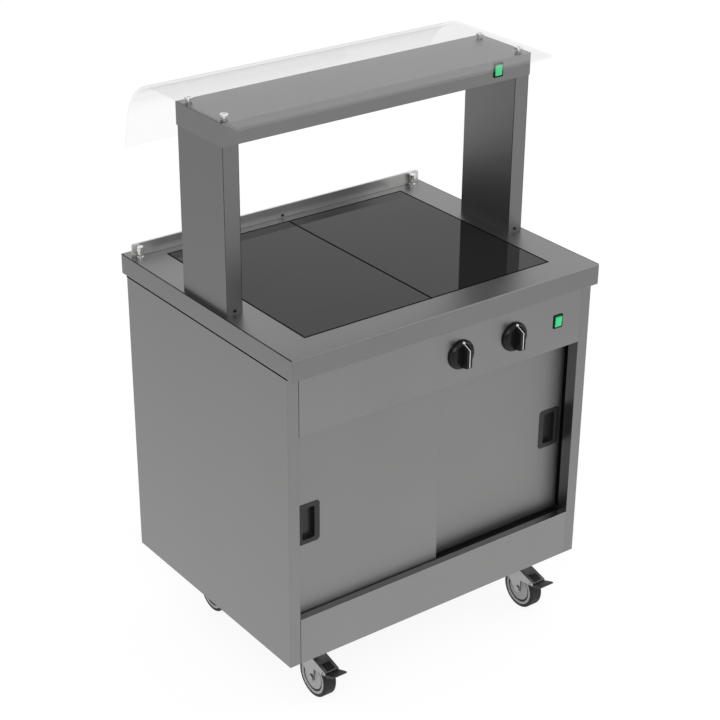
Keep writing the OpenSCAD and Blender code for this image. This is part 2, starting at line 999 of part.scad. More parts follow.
// Places of the four glass bolts on the header
module at_bolts() {
  for (side = [-1, 1])
    for (row = [0, 1])
      translate([fixing_shift + side * fixing_pitch_x / 2,
                 header_y + bolt_in + row * bolt_pitch_y, 0])
        children();
}

// Lamp header: a sheet cover, open below, with a hole for its switch
module header_shell() {
  color(steel)
  difference() {
    block([-header_x, header_x], [header_y, header_y + header_d], [header_z, header_top]);
    block([-header_x + header_t, header_x - header_t],
          [header_y + header_t, header_y + header_d - header_t],
          [header_z - over, header_top - header_t]);
    switch_hole(header_switch_x, header_y, header_switch_z);
    at_bolts()
      translate([0, 0, header_top - header_t - over])
        cylinder(r = bolt_r + bolt_fit, h = header_t + 2 * over);
  }
}

// Reflector trough in the header, with the clips that hold the lamps
module header_reflector() {
  half = post_x - post_w - seat;
  mid_y = header_y + header_d / 2;
  near = header_y + header_t + seat;
  far = header_y + header_d - header_t - seat;
  web_z = header_z + reflector_h;
  color(bright) {
    block([-half, half], [near, mid_y - reflector_w / 2], [header_z, header_z + sheet]);
    block([-half, half], [mid_y + reflector_w / 2, far], [header_z, header_z + sheet]);
    for (side = [-1, 1])
      block([-half, half],
            [mid_y + side * reflector_w / 2 - sheet / 2, mid_y + side * reflector_w / 2 + sheet / 2],
            [header_z, web_z]);
    block([-half, half], [mid_y - reflector_w / 2, mid_y + reflector_w / 2],
          [web_z - sheet, web_z]);
    for (lamp = [-1, 1])
      for (end = [-1, 1])
        lamp_clip(lamp_x(lamp) + end * (lamp_l / 2 - lamp_cap_l / 2), mid_y, web_z - sheet);
  }
}

// Middle of a lamp across the header
function lamp_x(side) = side * (lamp_l + lamp_gap) / 2;

// A plate with a hole that holds one end of a lamp
module lamp_clip(x, y, top) {
  difference() {
    block([x - clip_t / 2, x + clip_t / 2], [y - clip_w / 2, y + clip_w / 2],
          [lamp_z - lamp_cap_d / 2 - clip_t / 2, top + sheet / 2]);
    translate([0, y, lamp_z])
      along_x(x - clip_t, lamp_cap_d / 2 + run_fit, 2 * clip_t);
  }
}

// Quartz lamps with ceramic ends
module heat_lamps() {
  color("#f4efe2")
    for (side = [-1, 1])
      translate([0, header_y + header_d / 2, lamp_z]) {
        along_x(lamp_x(side) - lamp_l / 2, lamp_d / 2, lamp_l);
        along_x(lamp_x(side) - lamp_l / 2, lamp_cap_d / 2, lamp_cap_l);
        along_x(lamp_x(side) + lamp_l / 2 - lamp_cap_l, lamp_cap_d / 2, lamp_cap_l);
      }
}

// Points along the bend at a radius, as [Y, Z], from the flat top round to the drop
function bend_points(radius) =
  [for (step = [0 : bend_steps])
    let (angle = glass_turn * step / bend_steps)
      [bend_y + radius * sin(angle), bend_z + radius * cos(angle)]];

// End of the straight drop at a radius from the middle of the bend
function drop_end(radius) =
  [bend_y + radius * sin(glass_turn) + glass_drop * cos(glass_turn),
   bend_z + radius * cos(glass_turn) - glass_drop * sin(glass_turn)];

// Serving glass: flat top, round bend towards the customer and a straight drop
module curved_glass() {
  inner_r = glass_r - glass_t;
  inner = concat([[glass_front, glass_z]], bend_points(inner_r), [drop_end(inner_r)]);
  outer = concat([[glass_front, glass_z + glass_t]], bend_points(glass_r), [drop_end(glass_r)]);
  last = len(outer) - 1;
  color("#cfe8e6", 0.35)
  difference() {
    side_outline(2 * glass_x)
      polygon(concat(inner, [for (i = [last : -1 : 0]) outer[i]]));
    at_bolts()
      translate([0, 0, glass_z - over])
        cylinder(r = bolt_r + bolt_fit, h = glass_t + 2 * over);
  }
}

// Glass bolts: a flat cap with a key socket, and a shank down into the header
module glass_bolts() {
  color(bright)
  at_bolts()
    difference() {
      union() {
        translate([0, 0, glass_z + glass_t + seat])
          cylinder(r = bolt_cap_r, h = bolt_cap_h);
        translate([0, 0, header_top - bolt_down])
          cylinder(r = bolt_r, h = bolt_down + collar_h + glass_t + seat + bolt_cap_h / 2);
      }
      translate([0, 0, glass_z + glass_t + seat + bolt_cap_h - socket_deep])
        cylinder(d = socket_d, h = socket_deep + over, $fn = 6);
    }
}

// Spacers that hold the glass off the header
module glass_collars() {
  color(bright)
  at_bolts()
    translate([0, 0, header_top])
      difference() {
        cylinder(r = collar_r, h = collar_h);
        translate([0, 0, -over])
          cylinder(r = bolt_r + bolt_fit, h = collar_h + 2 * over);
      }
}

// Bright upstand along the customer edge, with round upper corners
module rear_strip() {
  half = top_x - strip_in;
  color(bright)
    front_outline(strip_y, strip_t) {
      for (side = [-1, 1])
        translate([side * (half - strip_r), top_z + strip_h - strip_r])
          circle(r = strip_r);
      translate([-half, top_z])
        square([2 * half, strip_h - strip_r]);
      translate([-half + strip_r, top_z])
        square([2 * (half - strip_r), strip_h]);
    }
}

// Round pillars that hold the upstand
module strip_pillars() {
  color(bright)
    for (side = [-1, 1])
      translate([fixing_shift + side * fixing_pitch_x / 2, strip_y - pillar_r, top_z])
        cylinder(r = pillar_r, h = pillar_h);
}

// A screw head that stands on the face at y and points towards -Y, or towards +Y with turn 180
module screw_head(x, y, z, turn) {
  translate([x, y, z])
    rotate([90, 0, turn])
      cylinder(r = screw_r, h = screw_t);
}

// Screws of the posts and the upstand, and the bolts of the castor plates
module screws() {
  post_front = y_front + post_y;
  post_mid = post_x - post_w / 2;
  color(bright) {
    for (side = [-1, 1]) {
      screw_head(side * post_mid, post_front, top_z + post_screw_up, 0);
      screw_head(side * post_mid, post_front + post_d, top_z + post_screw_up, 180);
    }
    screw_head(0, strip_y, top_z + strip_screw_up, 0);
    for (side = [-1, 1])
      for (row = [0, 1])
        at_castor(side, row)
          for (sx = [-1, 1])
            for (sy = [-1, 1])
              translate([sx * castor_bolt_x, sy * castor_bolt_y,
                         castor_top - castor_plate_t - castor_bolt_h])
                cylinder(r = castor_bolt_r, h = castor_bolt_h, $fn = 6);
  }
}

// Moves a castor from its own frame to its place: side -1 or 1, row 0 front or 1 rear
module at_castor(side, row) {
  translate([castor_shift + side * castor_pitch_x / 2,
             y_front + castor_front + row * castor_pitch_y, 0])
    children();
}

// Fixing plates of the castors, each with the upper half of its swivel bearing
module castor_plates() {
  race_top = crown_z + race_h + race_gap;
  color(bright)
    for (side = [-1, 1])
      for (row = [0, 1])
        at_castor(side, row)
          difference() {
            union() {
              translate([0, 0, castor_top - castor_plate_t / 2])
                cube([plate_wide, plate_long, castor_plate_t], center = true);
              translate([0, 0, race_top])
                cylinder(r = top_race_r, h = castor_top - castor_plate_t / 2 - race_top);
            }
            translate([0, 0, race_top - over])
              cylinder(r = pin_r + run_fit, h = castor_top - race_top + 2 * over);
          }
}

// Side outline of a fork cheek, points as [Y, Z]
module cheek_outline() {
  toe_y = -trail - toe_reach;
  toe_z = wheel_r + toe_rise;
  polygon([[hood_tip_y, hood_tip_z],
           [hood_crown_y, crown_z],
           [crown_back, crown_z],
           [crown_back, crown_z - heel_drop],
           [-trail + heel_reach, wheel_r],
           [-trail, wheel_r - fork_boss_r / 2],
           [-trail - fork_boss_r, wheel_r],
           [toe_y, toe_z],
           [hood_tip_y, toe_z + toe_lift]]);
  translate([-trail, wheel_r])
    circle(r = fork_boss_r);
}

// Fork: two cheeks below a sloping hood, the lower half of the bearing, the pin and the axle
module fork(side, row) {
  braked = row == 0;
  color(bright)
  at_castor(side, row) {
    difference() {
      union() {
        for (cheek = [-1, 1])
          translate([cheek * (fork_in + fork_t / 2), 0, 0])
            side_outline(fork_t) cheek_outline();
        side_outline(2 * fork_out)
          polygon([[hood_tip_y, hood_tip_z],
                   [hood_crown_y, crown_z],
                   [crown_back, crown_z],
                   [crown_back, crown_z - hood_t],
                   [hood_crown_y, crown_z - hood_t],
                   [hood_tip_y, hood_tip_z - hood_t]]);
      }
      if (braked) {
        block([-window_w / 2, window_w / 2], [window_near, window_far],
              [hood_tip_z - hood_t, crown_z + over]);
        translate([0, pedal_y, pedal_z])
          along_x(-fork_out - over, pedal_pin_r + run_fit, 2 * (fork_out + over));
      }
    }
    translate([0, 0, crown_z])
      cylinder(r = race_r, h = race_h);
    translate([0, 0, crown_z])
      cylinder(r = pin_r, h = castor_top - crown_z);
    translate([0, -trail, wheel_r]) {
      along_x(-fork_out - axle_end, axle_r, 2 * (fork_out + axle_end));
      for (end = [-1, 1])
        translate([end * (fork_out + axle_end / 2), 0, 0])
          rotate([0, 90, 0])
            cylinder(d = nut_d, h = axle_end, center = true, $fn = 6);
    }
  }
}

// Wheel body: boss, shallow web and rim with a deep groove between them in each face
module hub(side, row) {
  half = wheel_w / 2;
  color("#b9bbbd")
  at_castor(side, row)
    translate([0, -trail, wheel_r])
      rotate([0, 90, 0])
        rotate_extrude($fn = 96)
          polygon([[axle_r + run_fit, -half],
                   [boss_r, -half],
                   [boss_r, -half + web_in],
                   [web_r, -half + web_in],
                   [web_r, -half + groove_in],
                   [groove_r, -half + groove_in],
                   [groove_r, -half],
                   [rim_r, -half],
                   [rim_r, half],
                   [groove_r, half],
                   [groove_r, half - groove_in],
                   [web_r, half - groove_in],
                   [web_r, half - web_in],
                   [boss_r, half - web_in],
                   [boss_r, half],
                   [axle_r + run_fit, half]]);
}

// Tyre: a band with bevelled shoulders
module tyre(side, row) {
  half = wheel_w / 2;
  color(black)
  at_castor(side, row)
    translate([0, -trail, wheel_r])
      rotate([0, 90, 0])
        rotate_extrude($fn = 96)
          polygon([[rim_r, -half],
                   [wheel_r - tyre_round / 2, -half],
                   [wheel_r, -half + tyre_round],
                   [wheel_r, half - tyre_round],
                   [wheel_r - tyre_round / 2, half],
                   [rim_r, half]]);
}

// Brake pedal: a tread in front of the hood and a release pad that shows in its window
module pedal(side) {
  lip_y = pedal_y - lip_reach;
  lip_z = pedal_z + lip_rise;
  neck_y = pedal_y - neck_reach;
  neck_top = pedal_z + neck_rise;
  heel_y = pedal_y + pedal_boss_r;
  pad_near = pedal_y + pad_start;
  pad_far = pedal_y + pad_end;
  color(black)
  at_castor(side, 0) {
    side_outline(pedal_w)
      polygon([[neck_y - lip_t, neck_top - 2 * lip_t],
               [neck_y - lip_t, neck_top + lip_t / 3],
               [lip_y + lip_t / 2, lip_z + lip_t / 2],
               [lip_y, lip_z],
               [lip_y + lip_t / 2, lip_z - lip_t]]);
    side_outline(pedal_neck_w) {
      polygon([[heel_y, pedal_z - lip_t],
               [heel_y, pedal_z + pedal_pin_r],
               [neck_y, neck_top],
               [neck_y - lip_t, neck_top + lip_t / 3],
               [neck_y - lip_t, neck_top - 2 * lip_t]]);
      translate([pedal_y, pedal_z])
        circle(r = pedal_boss_r);
    }
    side_outline(pad_w)
      polygon([[pad_near, pedal_z],
               [pad_near, pedal_z + pad_near_rise],
               [pad_far, pedal_z + pad_far_rise],
               [pad_far, pedal_z + pad_far_rise - pad_under],
               [heel_y + pad_under, pedal_z + pad_under]]);
    translate([0, pedal_y, pedal_z])
      along_x(-fork_out, pedal_pin_r, 2 * fork_out);
  }
}

module front_left_fork() {
  fork(-1, 0);
}

module front_left_hub() {
  hub(-1, 0);
}

module front_left_tyre() {
  tyre(-1, 0);
}

module front_left_pedal() {
  pedal(-1);
}

module front_right_fork() {
  fork(1, 0);
}

module front_right_hub() {
  hub(1, 0);
}

module front_right_tyre() {
  tyre(1, 0);
}

module front_right_pedal() {
  pedal(1);
}

module rear_left_fork() {
  fork(-1, 1);
}

module rear_left_hub() {
  hub(-1, 1);
}

module rear_left_tyre() {
  tyre(-1, 1);
}

module rear_right_fork() {
  fork(1, 1);
}

module rear_right_hub() {
  hub(1, 1);
}

module rear_right_tyre() {
  tyre(1, 1);
}

worktop();
hot_plate_left();
hot_plate_right();
plate_seal();
plate_elements();
left_side_panel();
right_side_panel();
back_panel();
control_panel();
lower_front_panel();
base_tray();
left_liner();
right_liner();
back_liner();
roof_liner();
cupboard_floor();
insulation();
middle_shelf();
shelf_rests();
top_track();
bottom_track();
cupboard_heater();
thermostats();
terminal_block();
cable_gland();
rocker_bezels();
left_post();
right_post();
header_shell();
header_reflector();
heat_lamps();
curved_glass();
glass_bolts();
glass_collars();
rear_strip();
strip_pillars();
castor_plates();
screws();
left_door();
left_door_cup();
right_door();
right_door_cup();
left_knob();
right_knob();
panel_rocker();
header_rocker();
front_left_fork();
front_left_hub();
front_left_tyre();
front_left_pedal();
front_right_fork();
front_right_hub();
front_right_tyre();
front_right_pedal();
rear_left_fork();
rear_left_hub();
rear_left_tyre();
rear_right_fork();
rear_right_hub();
rear_right_tyre();
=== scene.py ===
"""Looks of a heated servery counter: a hot cupboard on castors below a lamp gantry with a curved glass."""

import logging
import math
from dataclasses import dataclass, replace
from enum import Enum
from functools import cache
from typing import Sequence

import bmesh
import bpy
import numpy as np
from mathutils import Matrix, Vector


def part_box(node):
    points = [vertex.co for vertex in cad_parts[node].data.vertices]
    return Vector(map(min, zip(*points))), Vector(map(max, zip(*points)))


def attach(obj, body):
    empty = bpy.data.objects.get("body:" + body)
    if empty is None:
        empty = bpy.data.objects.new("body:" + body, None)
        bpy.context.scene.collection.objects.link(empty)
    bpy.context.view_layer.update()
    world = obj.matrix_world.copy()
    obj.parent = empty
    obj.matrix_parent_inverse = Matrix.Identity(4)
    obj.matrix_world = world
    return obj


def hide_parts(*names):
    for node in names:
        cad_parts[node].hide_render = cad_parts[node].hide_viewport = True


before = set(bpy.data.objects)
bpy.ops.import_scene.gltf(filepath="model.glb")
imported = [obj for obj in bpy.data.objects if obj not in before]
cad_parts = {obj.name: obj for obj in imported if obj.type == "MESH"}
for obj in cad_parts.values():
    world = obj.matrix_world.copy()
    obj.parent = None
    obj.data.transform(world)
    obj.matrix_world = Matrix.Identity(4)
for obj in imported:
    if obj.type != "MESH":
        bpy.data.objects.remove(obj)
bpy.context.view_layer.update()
log = logging.getLogger("servery_counter")

MM = 0.001
COUNTER = "counter"  # body of everything that neither slides, turns nor rolls
WHITE = (1.0, 1.0, 1.0, 1.0)
STEEL_WARMTH = (1.0, 0.998, 0.992)
NOISE_RANGE = (0.3, 0.7)  # most of the noise lies in it
FULL_RANGE = (0.0, 1.0)
CREASE_DEGREES = 32  # sharper edges stay sharp in shading
BEVEL_DEGREES = 40  # sharper edges are rounded by a bevel
FLAT_DEGREES = 1  # faces flatter than this to each other become one
NEW_MERGE, COPY_MERGE = 1e-7, 1e-6  # points nearer than this become one, in metres
ON_AXIS = 1e-6  # a profile that starts and ends nearer to its axis is closed by it
LEAST_RADIUS = 0.01 * MM  # a sharper corner is rounded by this
CORNER_STEPS, EDGE_STEPS, BEND_STEPS = 6, 3, 4  # of a quarter turn
WHEEL_STEPS, FITTING_STEPS, DOT_STEPS = 96, 48, 24  # of a whole turn

Socket = bpy.types.NodeSocket
Triple = tuple[float, float, float]
Value = Socket | float | Sequence[float]
Piece = bpy.types.Object


class Facing(Enum):
    """Direction that the outer side of a surface faces; its flat plane is the other two axes."""

    UP = "up"
    FRONT = "front"
    SIDE = "side"


class Grain(Enum):
    """Direction in which sheet metal was brushed, as the number of its axis."""

    ALONG_X = 0
    ALONG_Y = 1
    ALONG_Z = 2


def steel_grey(level: float) -> tuple[float, float, float, float]:
    """Neutral grey of a linear brightness, with the faint warmth of stainless steel."""
    return (*(level * part for part in STEEL_WARMTH), 1.0)


class Nodes:
    """Short calls for the shader nodes of one tree."""

    def __init__(self, tree: bpy.types.NodeTree) -> None:
        """Keeps the tree that the nodes join."""
        self.tree = tree

    def feed(self, target: Socket, value: Value) -> None:
        """Feeds an input.

        Args:
            target: The input.
            value: A socket that is linked to it, or a plain value.
        """
        if isinstance(value, Socket):
            self.tree.links.new(value, target)
        else:
            target.default_value = value

    def add(self, kind: str, inputs: dict[str | int, Value], **settings: str) -> bpy.types.Node:
        """Adds a node.

        Args:
            kind: Kind of the node, such as Mix.
            inputs: What each input is fed with, by its name or number.
            settings: Properties of the node, set before its inputs are fed.

        Returns:
            The node.
        """
        node = self.tree.nodes.new(f"ShaderNode{kind}")
        for name, value in settings.items():
            setattr(node, name, value)
        for name, value in inputs.items():
            self.feed(node.inputs[name], value)
        return node

    def calculate(self, operation: str, *values: Value) -> Socket:
        """Result of a Math node."""
        return self.add("Math", dict(enumerate(values)), operation=operation).outputs["Value"]

    def fit(self, value: Socket, source: Sequence[float], target: Sequence[float]) -> Socket:
        """Maps a value from one range to another, held at its ends."""
        ends = dict(zip(("From Min", "From Max", "To Min", "To Max"), (*source, *target)))
        return self.add("MapRange", {"Value": value, **ends}).outputs["Result"]

    def spread(self, noise: Socket, middle: float, reach: float) -> Socket:
        """Maps noise to a range given by its middle and its reach to either side."""
        return self.fit(noise, NOISE_RANGE, (middle - reach, middle + reach))

    def place(self, stretch: Triple) -> Socket:
        """Object coordinates, scaled along X, Y and Z."""
        where = self.add("TexCoord", {}).outputs["Object"]
        return self.add("Mapping", {"Scale": stretch, "Vector": where}).outputs["Vector"]

    def noise(self, stretch: Triple, detail: float = 2.0) -> Socket:
        """Noise from 0 to 1: stretch is its cells per metre along X, Y and Z, detail its finer octaves."""
        cells = {"Scale": 1.0, "Detail": detail, "Vector": self.place(stretch)}
        return self.add("TexNoise", cells).outputs["Fac"]

    def mixed(self, share: Socket, first: Sequence[float], second: Sequence[float]) -> Socket:
        """Colour between two colours: the first at share 0, the second at share 1."""
        return self.add("Mix", {"Factor": share, "A": first, "B": second}, data_type="RGBA").outputs["Result"]

    def seen(self) -> Socket:
        """Tells the rays that show a surface from those that only light others.

        Returns:
            1 for camera, glossy and transmission rays, 0 for the rest.
        """
        rays = self.add("LightPath", {}).outputs
        direct = self.calculate("MAXIMUM", rays["Is Camera Ray"], rays["Is Glossy Ray"])
        return self.calculate("MAXIMUM", direct, rays["Is Transmission Ray"])

    def mirrored(self, value: Socket) -> Socket:
        """The value for glossy rays, 0 for the rest."""
        return self.calculate("MULTIPLY", value, self.add("LightPath", {}).outputs["Is Glossy Ray"])


class Shader(Nodes):
    """Node tree of one material, which starts with a Principled surface."""

    def __init__(self, name: str) -> None:
        """Makes the material.

        Args:
            name: Name of the material.
        """
        self.material = bpy.data.materials.new(name)
        self.material.use_nodes = True
        super().__init__(self.material.node_tree)
        self.tree.nodes.clear()
        self.surface = self.add("BsdfPrincipled", {})
        self.output = self.add("OutputMaterial", {"Surface": self.surface.outputs["BSDF"]})

    def set(self, name: str, value: Value) -> None:
        """Feeds an input of the Principled surface."""
        self.feed(self.surface.inputs[name], value)

    def emboss(self, height: Socket, strength: float, distance: float) -> None:
        """Raises the surface by a height pattern, whose 1 stands for a distance in metres."""
        bump = self.add("Bump", {"Strength": strength, "Distance": distance, "Height": height})
        self.set("Normal", bump.outputs["Normal"])

    def mix_surfaces(self, share: Socket, first: Socket, second: Socket) -> None:
        """Ends the material in a mix of two surfaces: the first at share 0, the second at share 1."""
        mix = self.add("MixShader", {0: share, 1: first, 2: second})
        self.feed(self.output.inputs["Surface"], mix.outputs["Shader"])


@dataclass(frozen=True)
class SheetSteel:
    """Satin stainless sheet: fine grain along one direction, faint cloudiness, soft reflections."""

    name: str
    slot: str = "satin_steel"
    level: float = 0.24
    roughness: float = 0.29
    grain: Grain = Grain.ALONG_X
    grain_cells: float = 2600.0
    grain_cells_along: float = 42.0
    grain_height: float = 0.02 * MM
    grain_strength: float = 0.15
    grain_gloss: float = 0.03
    cloud_cells: float = 5.0
    detail: float = 3.0
    cloud_gloss: float = 0.025
    cloud_tint: float = 0.03

    def material(self) -> bpy.types.Material:
        """Builds the brushed metal: noise stretched 1:60 along the grain drives roughness and bump.

        Returns:
            The material.
        """
        shader = Shader(self.name)
        axes = range(3)
        cells = [self.grain_cells_along if axis == self.grain.value else self.grain_cells for axis in axes]
        grain = shader.noise(cells, self.detail)
        cloud = shader.noise((self.cloud_cells,) * 3, self.detail)
        dark, light = (steel_grey(self.level * (1 + side * self.cloud_tint)) for side in (-1, 1))
        shader.set("Base Color", shader.mixed(shader.fit(cloud, NOISE_RANGE, FULL_RANGE), dark, light))
        fine = shader.spread(grain, 0.0, self.grain_gloss)
        broad = shader.spread(cloud, self.roughness, self.cloud_gloss)
        shader.set("Roughness", shader.calculate("ADD", fine, broad))
        shader.emboss(grain, self.grain_strength, self.grain_height)
        shader.set("Metallic", 1.0)
        return shader.material


@dataclass(frozen=True)
class PolishedMetal:
    """Polished or plated metal with faint wiping marks."""

    name: str
    slot: str
    level: float = 0.78
    roughness: float = 0.12
    wiping: float = 0.3
    wiping_cells: Triple = (30.0, 90.0, 60.0)
    wiping_detail: float = 4.0
    tint_part: float = 6.0

    def material(self) -> bpy.types.Material:
        """Builds the plated metal: noise varies the polish by a share, and the colour by a part of it.

        Returns:
            The material.
        """
        shader = Shader(self.name)
        wipe = shader.noise(self.wiping_cells, self.wiping_detail)
        shader.set("Roughness", shader.spread(wipe, self.roughness, self.roughness * self.wiping))
        dark, light = (steel_grey(self.level * (1 + side * self.wiping / self.tint_part)) for side in (-1, 1))
        shader.set("Base Color", shader.mixed(wipe, dark, light))
        shader.set("Metallic", 1.0)
        return shader.material


@dataclass(frozen=True)
class HotGlass:
    """Black heated glass of the plates: a deep gloss with faint wiping marks."""

    name: str = "black heated glass"
    slot: str = "hot_plate"
    wiping_cells: Triple = (6.0, 9.0, 6.0)
    wiping_detail: float = 4.0
    speck_cells: float = 900.0
    speck_detail: float = 1.0
    dark: tuple[float, ...] = (0.014, 0.014, 0.015, 1.0)
    light: tuple[float, ...] = (0.021, 0.021, 0.022, 1.0)
    roughness: tuple[float, float] = (0.02, 0.05)
    refraction: float = 1.25

    def material(self) -> bpy.types.Material:
        """Builds the black glass: near-black body, low roughness that noise varies a little.

        Returns:
            The material.
        """
        shader = Shader(self.name)
        wipe = shader.noise(self.wiping_cells, self.wiping_detail)
        shader.set("Roughness", shader.fit(wipe, NOISE_RANGE, self.roughness))
        specks = shader.noise((self.speck_cells,) * 3, self.speck_detail)
        shader.set("Base Color", shader.mixed(specks, self.dark, self.light))
        shader.set("IOR", self.refraction)
        return shader.material


@dataclass(frozen=True)
class Moulded:
    """Moulded plastic or rubber with a fine skin texture."""

    name: str
    slot: str
    colour: Triple
    roughness: float = 0.42
    skin: float = 0.12
    cells: float = 2200.0
    glow: float = 0.0
    sparkle: float = 0.5
    tint: float = 0.1
    sheen_cells: float = 25.0
    sheen_reach: float = 0.04
    skin_height: float = 0.05 * MM

    def material(self) -> bpy.types.Material:
        """Builds the plastic: fine noise makes the moulded skin, slow noise the sheen.

        Returns:
            The material.
        """
        shader = Shader(self.name)
        skin = shader.noise((self.cells,) * 3)
        sheen = shader.noise((self.sheen_cells,) * 3)
        dark, light = ([part * (1 + side * self.tint) for part in self.colour] + [1.0] for side in (-1, 1))
        shader.set("Base Color", shader.mixed(skin, dark, light))
        shader.set("Roughness", shader.spread(sheen, self.roughness, self.sheen_reach))
        shader.emboss(skin, self.skin, self.skin_height)
        shader.set("Specular IOR Level", self.sparkle)
        if self.glow:
            shader.set("Emission Color", (*self.colour, 1.0))
            shader.set("Emission Strength", self.glow)
        return shader.material


@dataclass(frozen=True)
class ClearGlass:
    """Toughened clear glass: nearly clear face on, with more tint and gloss as it turns away."""

    name: str = "toughened glass"
    slot: str = "toughened_glass"
    clear: float = 0.997
    edge_tint: Triple = (0.840775, 0.845, 0.84331)
    gloss: tuple[float, float] = (0.004, 0.36)
    slant_blend: float = 0.5
    powers: tuple[float, float] = (2.0, 4.0)
    film_cells: float = 8.0
    film_roughness: tuple[float, float] = (0.01, 0.04)

    def material(self) -> bpy.types.Material:
        """Builds the glass: as it turns away, its tint rises by the square, its gloss by the fourth power.

        Returns:
            The material.
        """
        shader = Shader(self.name)
        shader.tree.nodes.remove(shader.surface)
        film = shader.fit(shader.noise((self.film_cells,) * 3), NOISE_RANGE, self.film_roughness)
        mirror = shader.add("BsdfGlossy", {"Color": WHITE, "Roughness": film})
        slant = shader.add("LayerWeight", {"Blend": self.slant_blend}).outputs["Facing"]
        tinting, steep = (shader.calculate("POWER", slant, power) for power in self.powers)
        tint = shader.mixed(tinting, (*(self.clear,) * 3, 1.0), (*self.edge_tint, 1.0))
        through = shader.add("BsdfTransparent", {"Color": tint})
        share = shader.fit(steep, FULL_RANGE, self.gloss)
        shader.mix_surfaces(share, through.outputs["BSDF"], mirror.outputs["BSDF"])
        return shader.material


Finish = SheetSteel | PolishedMetal | HotGlass | Moulded | ClearGlass

# these copies of one satin steel differ in level part by part: the differences are painted light and shade,
# darker for the posts, lighter for the doors and panels
TOP_STEEL = SheetSteel("satin steel, worktop", level=0.236, roughness=0.38)
PANEL_STEEL = SheetSteel("satin steel, grain across", level=0.262)
SIDE_STEEL = SheetSteel("satin steel, sides", level=0.25, roughness=0.35, grain=Grain.ALONG_Z)
DOOR_STEEL = SheetSteel("satin steel, doors", level=0.264, roughness=0.44, grain=Grain.ALONG_Z)
POST_STEEL = SheetSteel("satin steel, posts", level=0.214, roughness=0.42, grain=Grain.ALONG_Z)
HEADER_STEEL = SheetSteel("satin steel, header", level=0.238, roughness=0.4)
LINER = SheetSteel("bright rolled steel", "bright_steel", 0.42, 0.28, Grain.ALONG_Y)
INSIDE_STEEL = SheetSteel("bright steel, cupboard", "bright_steel", 0.66, 0.42, Grain.ALONG_Y)
STRIP = PolishedMetal("fine satin strip", "chrome_fittings", 0.66, 0.34, 0.04)
# near black strips painted along folds, standing for their shade and dark reflection
FOLD_SHADE = PolishedMetal("painted fold shade", "satin_steel", 0.03, 0.45)
CHROME = PolishedMetal("chrome", "chrome_fittings", 0.78, 0.1)
COLLAR = PolishedMetal("dark collar", "chrome_fittings", 0.2, 0.3)
SCREW = PolishedMetal("dark screw head", "chrome_fittings", 0.04, 0.35)
ZINC = PolishedMetal("zinc plate", "zinc_steel", 0.36, 0.3)
CASE = PolishedMetal("plated case", "thermostat_case", 0.5, 0.3)
HOT_GLASS = HotGlass()
BLACK = Moulded("black plastic", "black_plastic", (0.012, 0.012, 0.013), 0.3, sparkle=0.42)
FRAME_BLACK = Moulded("black switch frame", "black_plastic", (0.005, 0.004, 0.0042), 0.4, sparkle=0.12)
PEDAL = Moulded("black pedal", "black_plastic", (0.008, 0.008, 0.0085), 0.5)
# the tracks are painted near black, standing for the shade in which they lie
TRACK_PAINTED_SHADE = Moulded("track painted black as shade", "black_plastic", (0.006, 0.006, 0.006), 0.55, sparkle=0.2)
GLOSS_BLACK = Moulded(
    "glossy black plastic", "black_plastic", (0.009, 0.009, 0.0095), 0.2, 0.03, sparkle=0.22
)
# black of the real plate seal, also used for black bars that paint the shade in gaps
SEAL_AND_SHADE = Moulded("black seal", "seal_rubber", (0.004, 0.004, 0.004), 0.7, sparkle=0.0)
NYLON = Moulded("grey nylon", "grey_plastic", (0.42, 0.42, 0.42), 0.45)
# tyre rubber, also used for the dark rings that paint the shade in the wheels' grooves
TYRE_AND_GROOVE_SHADE = Moulded("tyre rubber and painted groove shade", "tyre_rubber", (0.016, 0.016, 0.017), 0.62, 0.3, 900.0, sparkle=0.3)
LENS = Moulded("green lens", "green_lens", (0.03, 0.52, 0.19), 0.25, 0.02, 600.0, 0.35)
WHITE_PRINT = Moulded("white print", "white_plastic", (0.85, 0.85, 0.85), 0.5)
WHITE_PLASTIC = Moulded("white plastic", "white_plastic", (0.7, 0.7, 0.68), 0.35)
LAMP = Moulded("frosted lamp", "lamp_ceramic", (0.72, 0.68, 0.6), 0.4)
WOOL = Moulded("mineral wool", "mineral_wool", (0.5, 0.42, 0.2), 0.9, 0.8, 300.0)
GLASS = ClearGlass()


@cache
def material_of(finish: Finish) -> bpy.types.Material:
    """Material of a finish, built the first time it is asked for."""
    return finish.material()


def box(node: str) -> tuple[np.ndarray, np.ndarray]:
    """Lowest and highest corner of a CAD node as arrays."""
    low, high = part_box(node)
    return np.array(low, float), np.array(high, float)


def quarter_turn(steps: int) -> np.ndarray:
    """Angles from 0 to 90 degrees, in radians."""
    return np.linspace(0.0, math.pi / 2, steps + 1)


def place_points(flat: np.ndarray, out: np.ndarray, facing: Facing) -> np.ndarray:
    """Turns plane coordinates and an outward height into the counter's frame.

    Args:
        flat: Plane coordinates, (..., 2).
        out: Outward heights, (...).
        facing: Direction of the outward height.

    Returns:
        Points, (..., 3): UP is (u, v, w), FRONT is (u, -w, v), SIDE is (w, u, v).
    """
    u, v = flat[..., 0], flat[..., 1]
    axes = {Facing.UP: (u, v, out), Facing.FRONT: (u, -out, v), Facing.SIDE: (out, u, v)}[facing]
    return np.stack(axes, axis=-1)


def grid_faces(rows: int, columns: int, loop_rows: bool) -> list[list[int]]:
    """Quads between neighbouring points of a grid whose last column meets the first.

    Args:
        rows: Number of rows.
        columns: Number of columns.
        loop_rows: True if the last row meets the first.

    Returns:
        Point numbers of each quad.
    """
    i = np.arange(rows if loop_rows else rows - 1)[:, None]
    j = np.arange(columns)[None, :]
    i2, j2 = (i + 1) % rows, (j + 1) % columns
    corners = np.broadcast_arrays(i * columns + j, i * columns + j2, i2 * columns + j2, i2 * columns + j)
    return np.stack(corners, axis=-1).reshape(-1, 4).tolist()


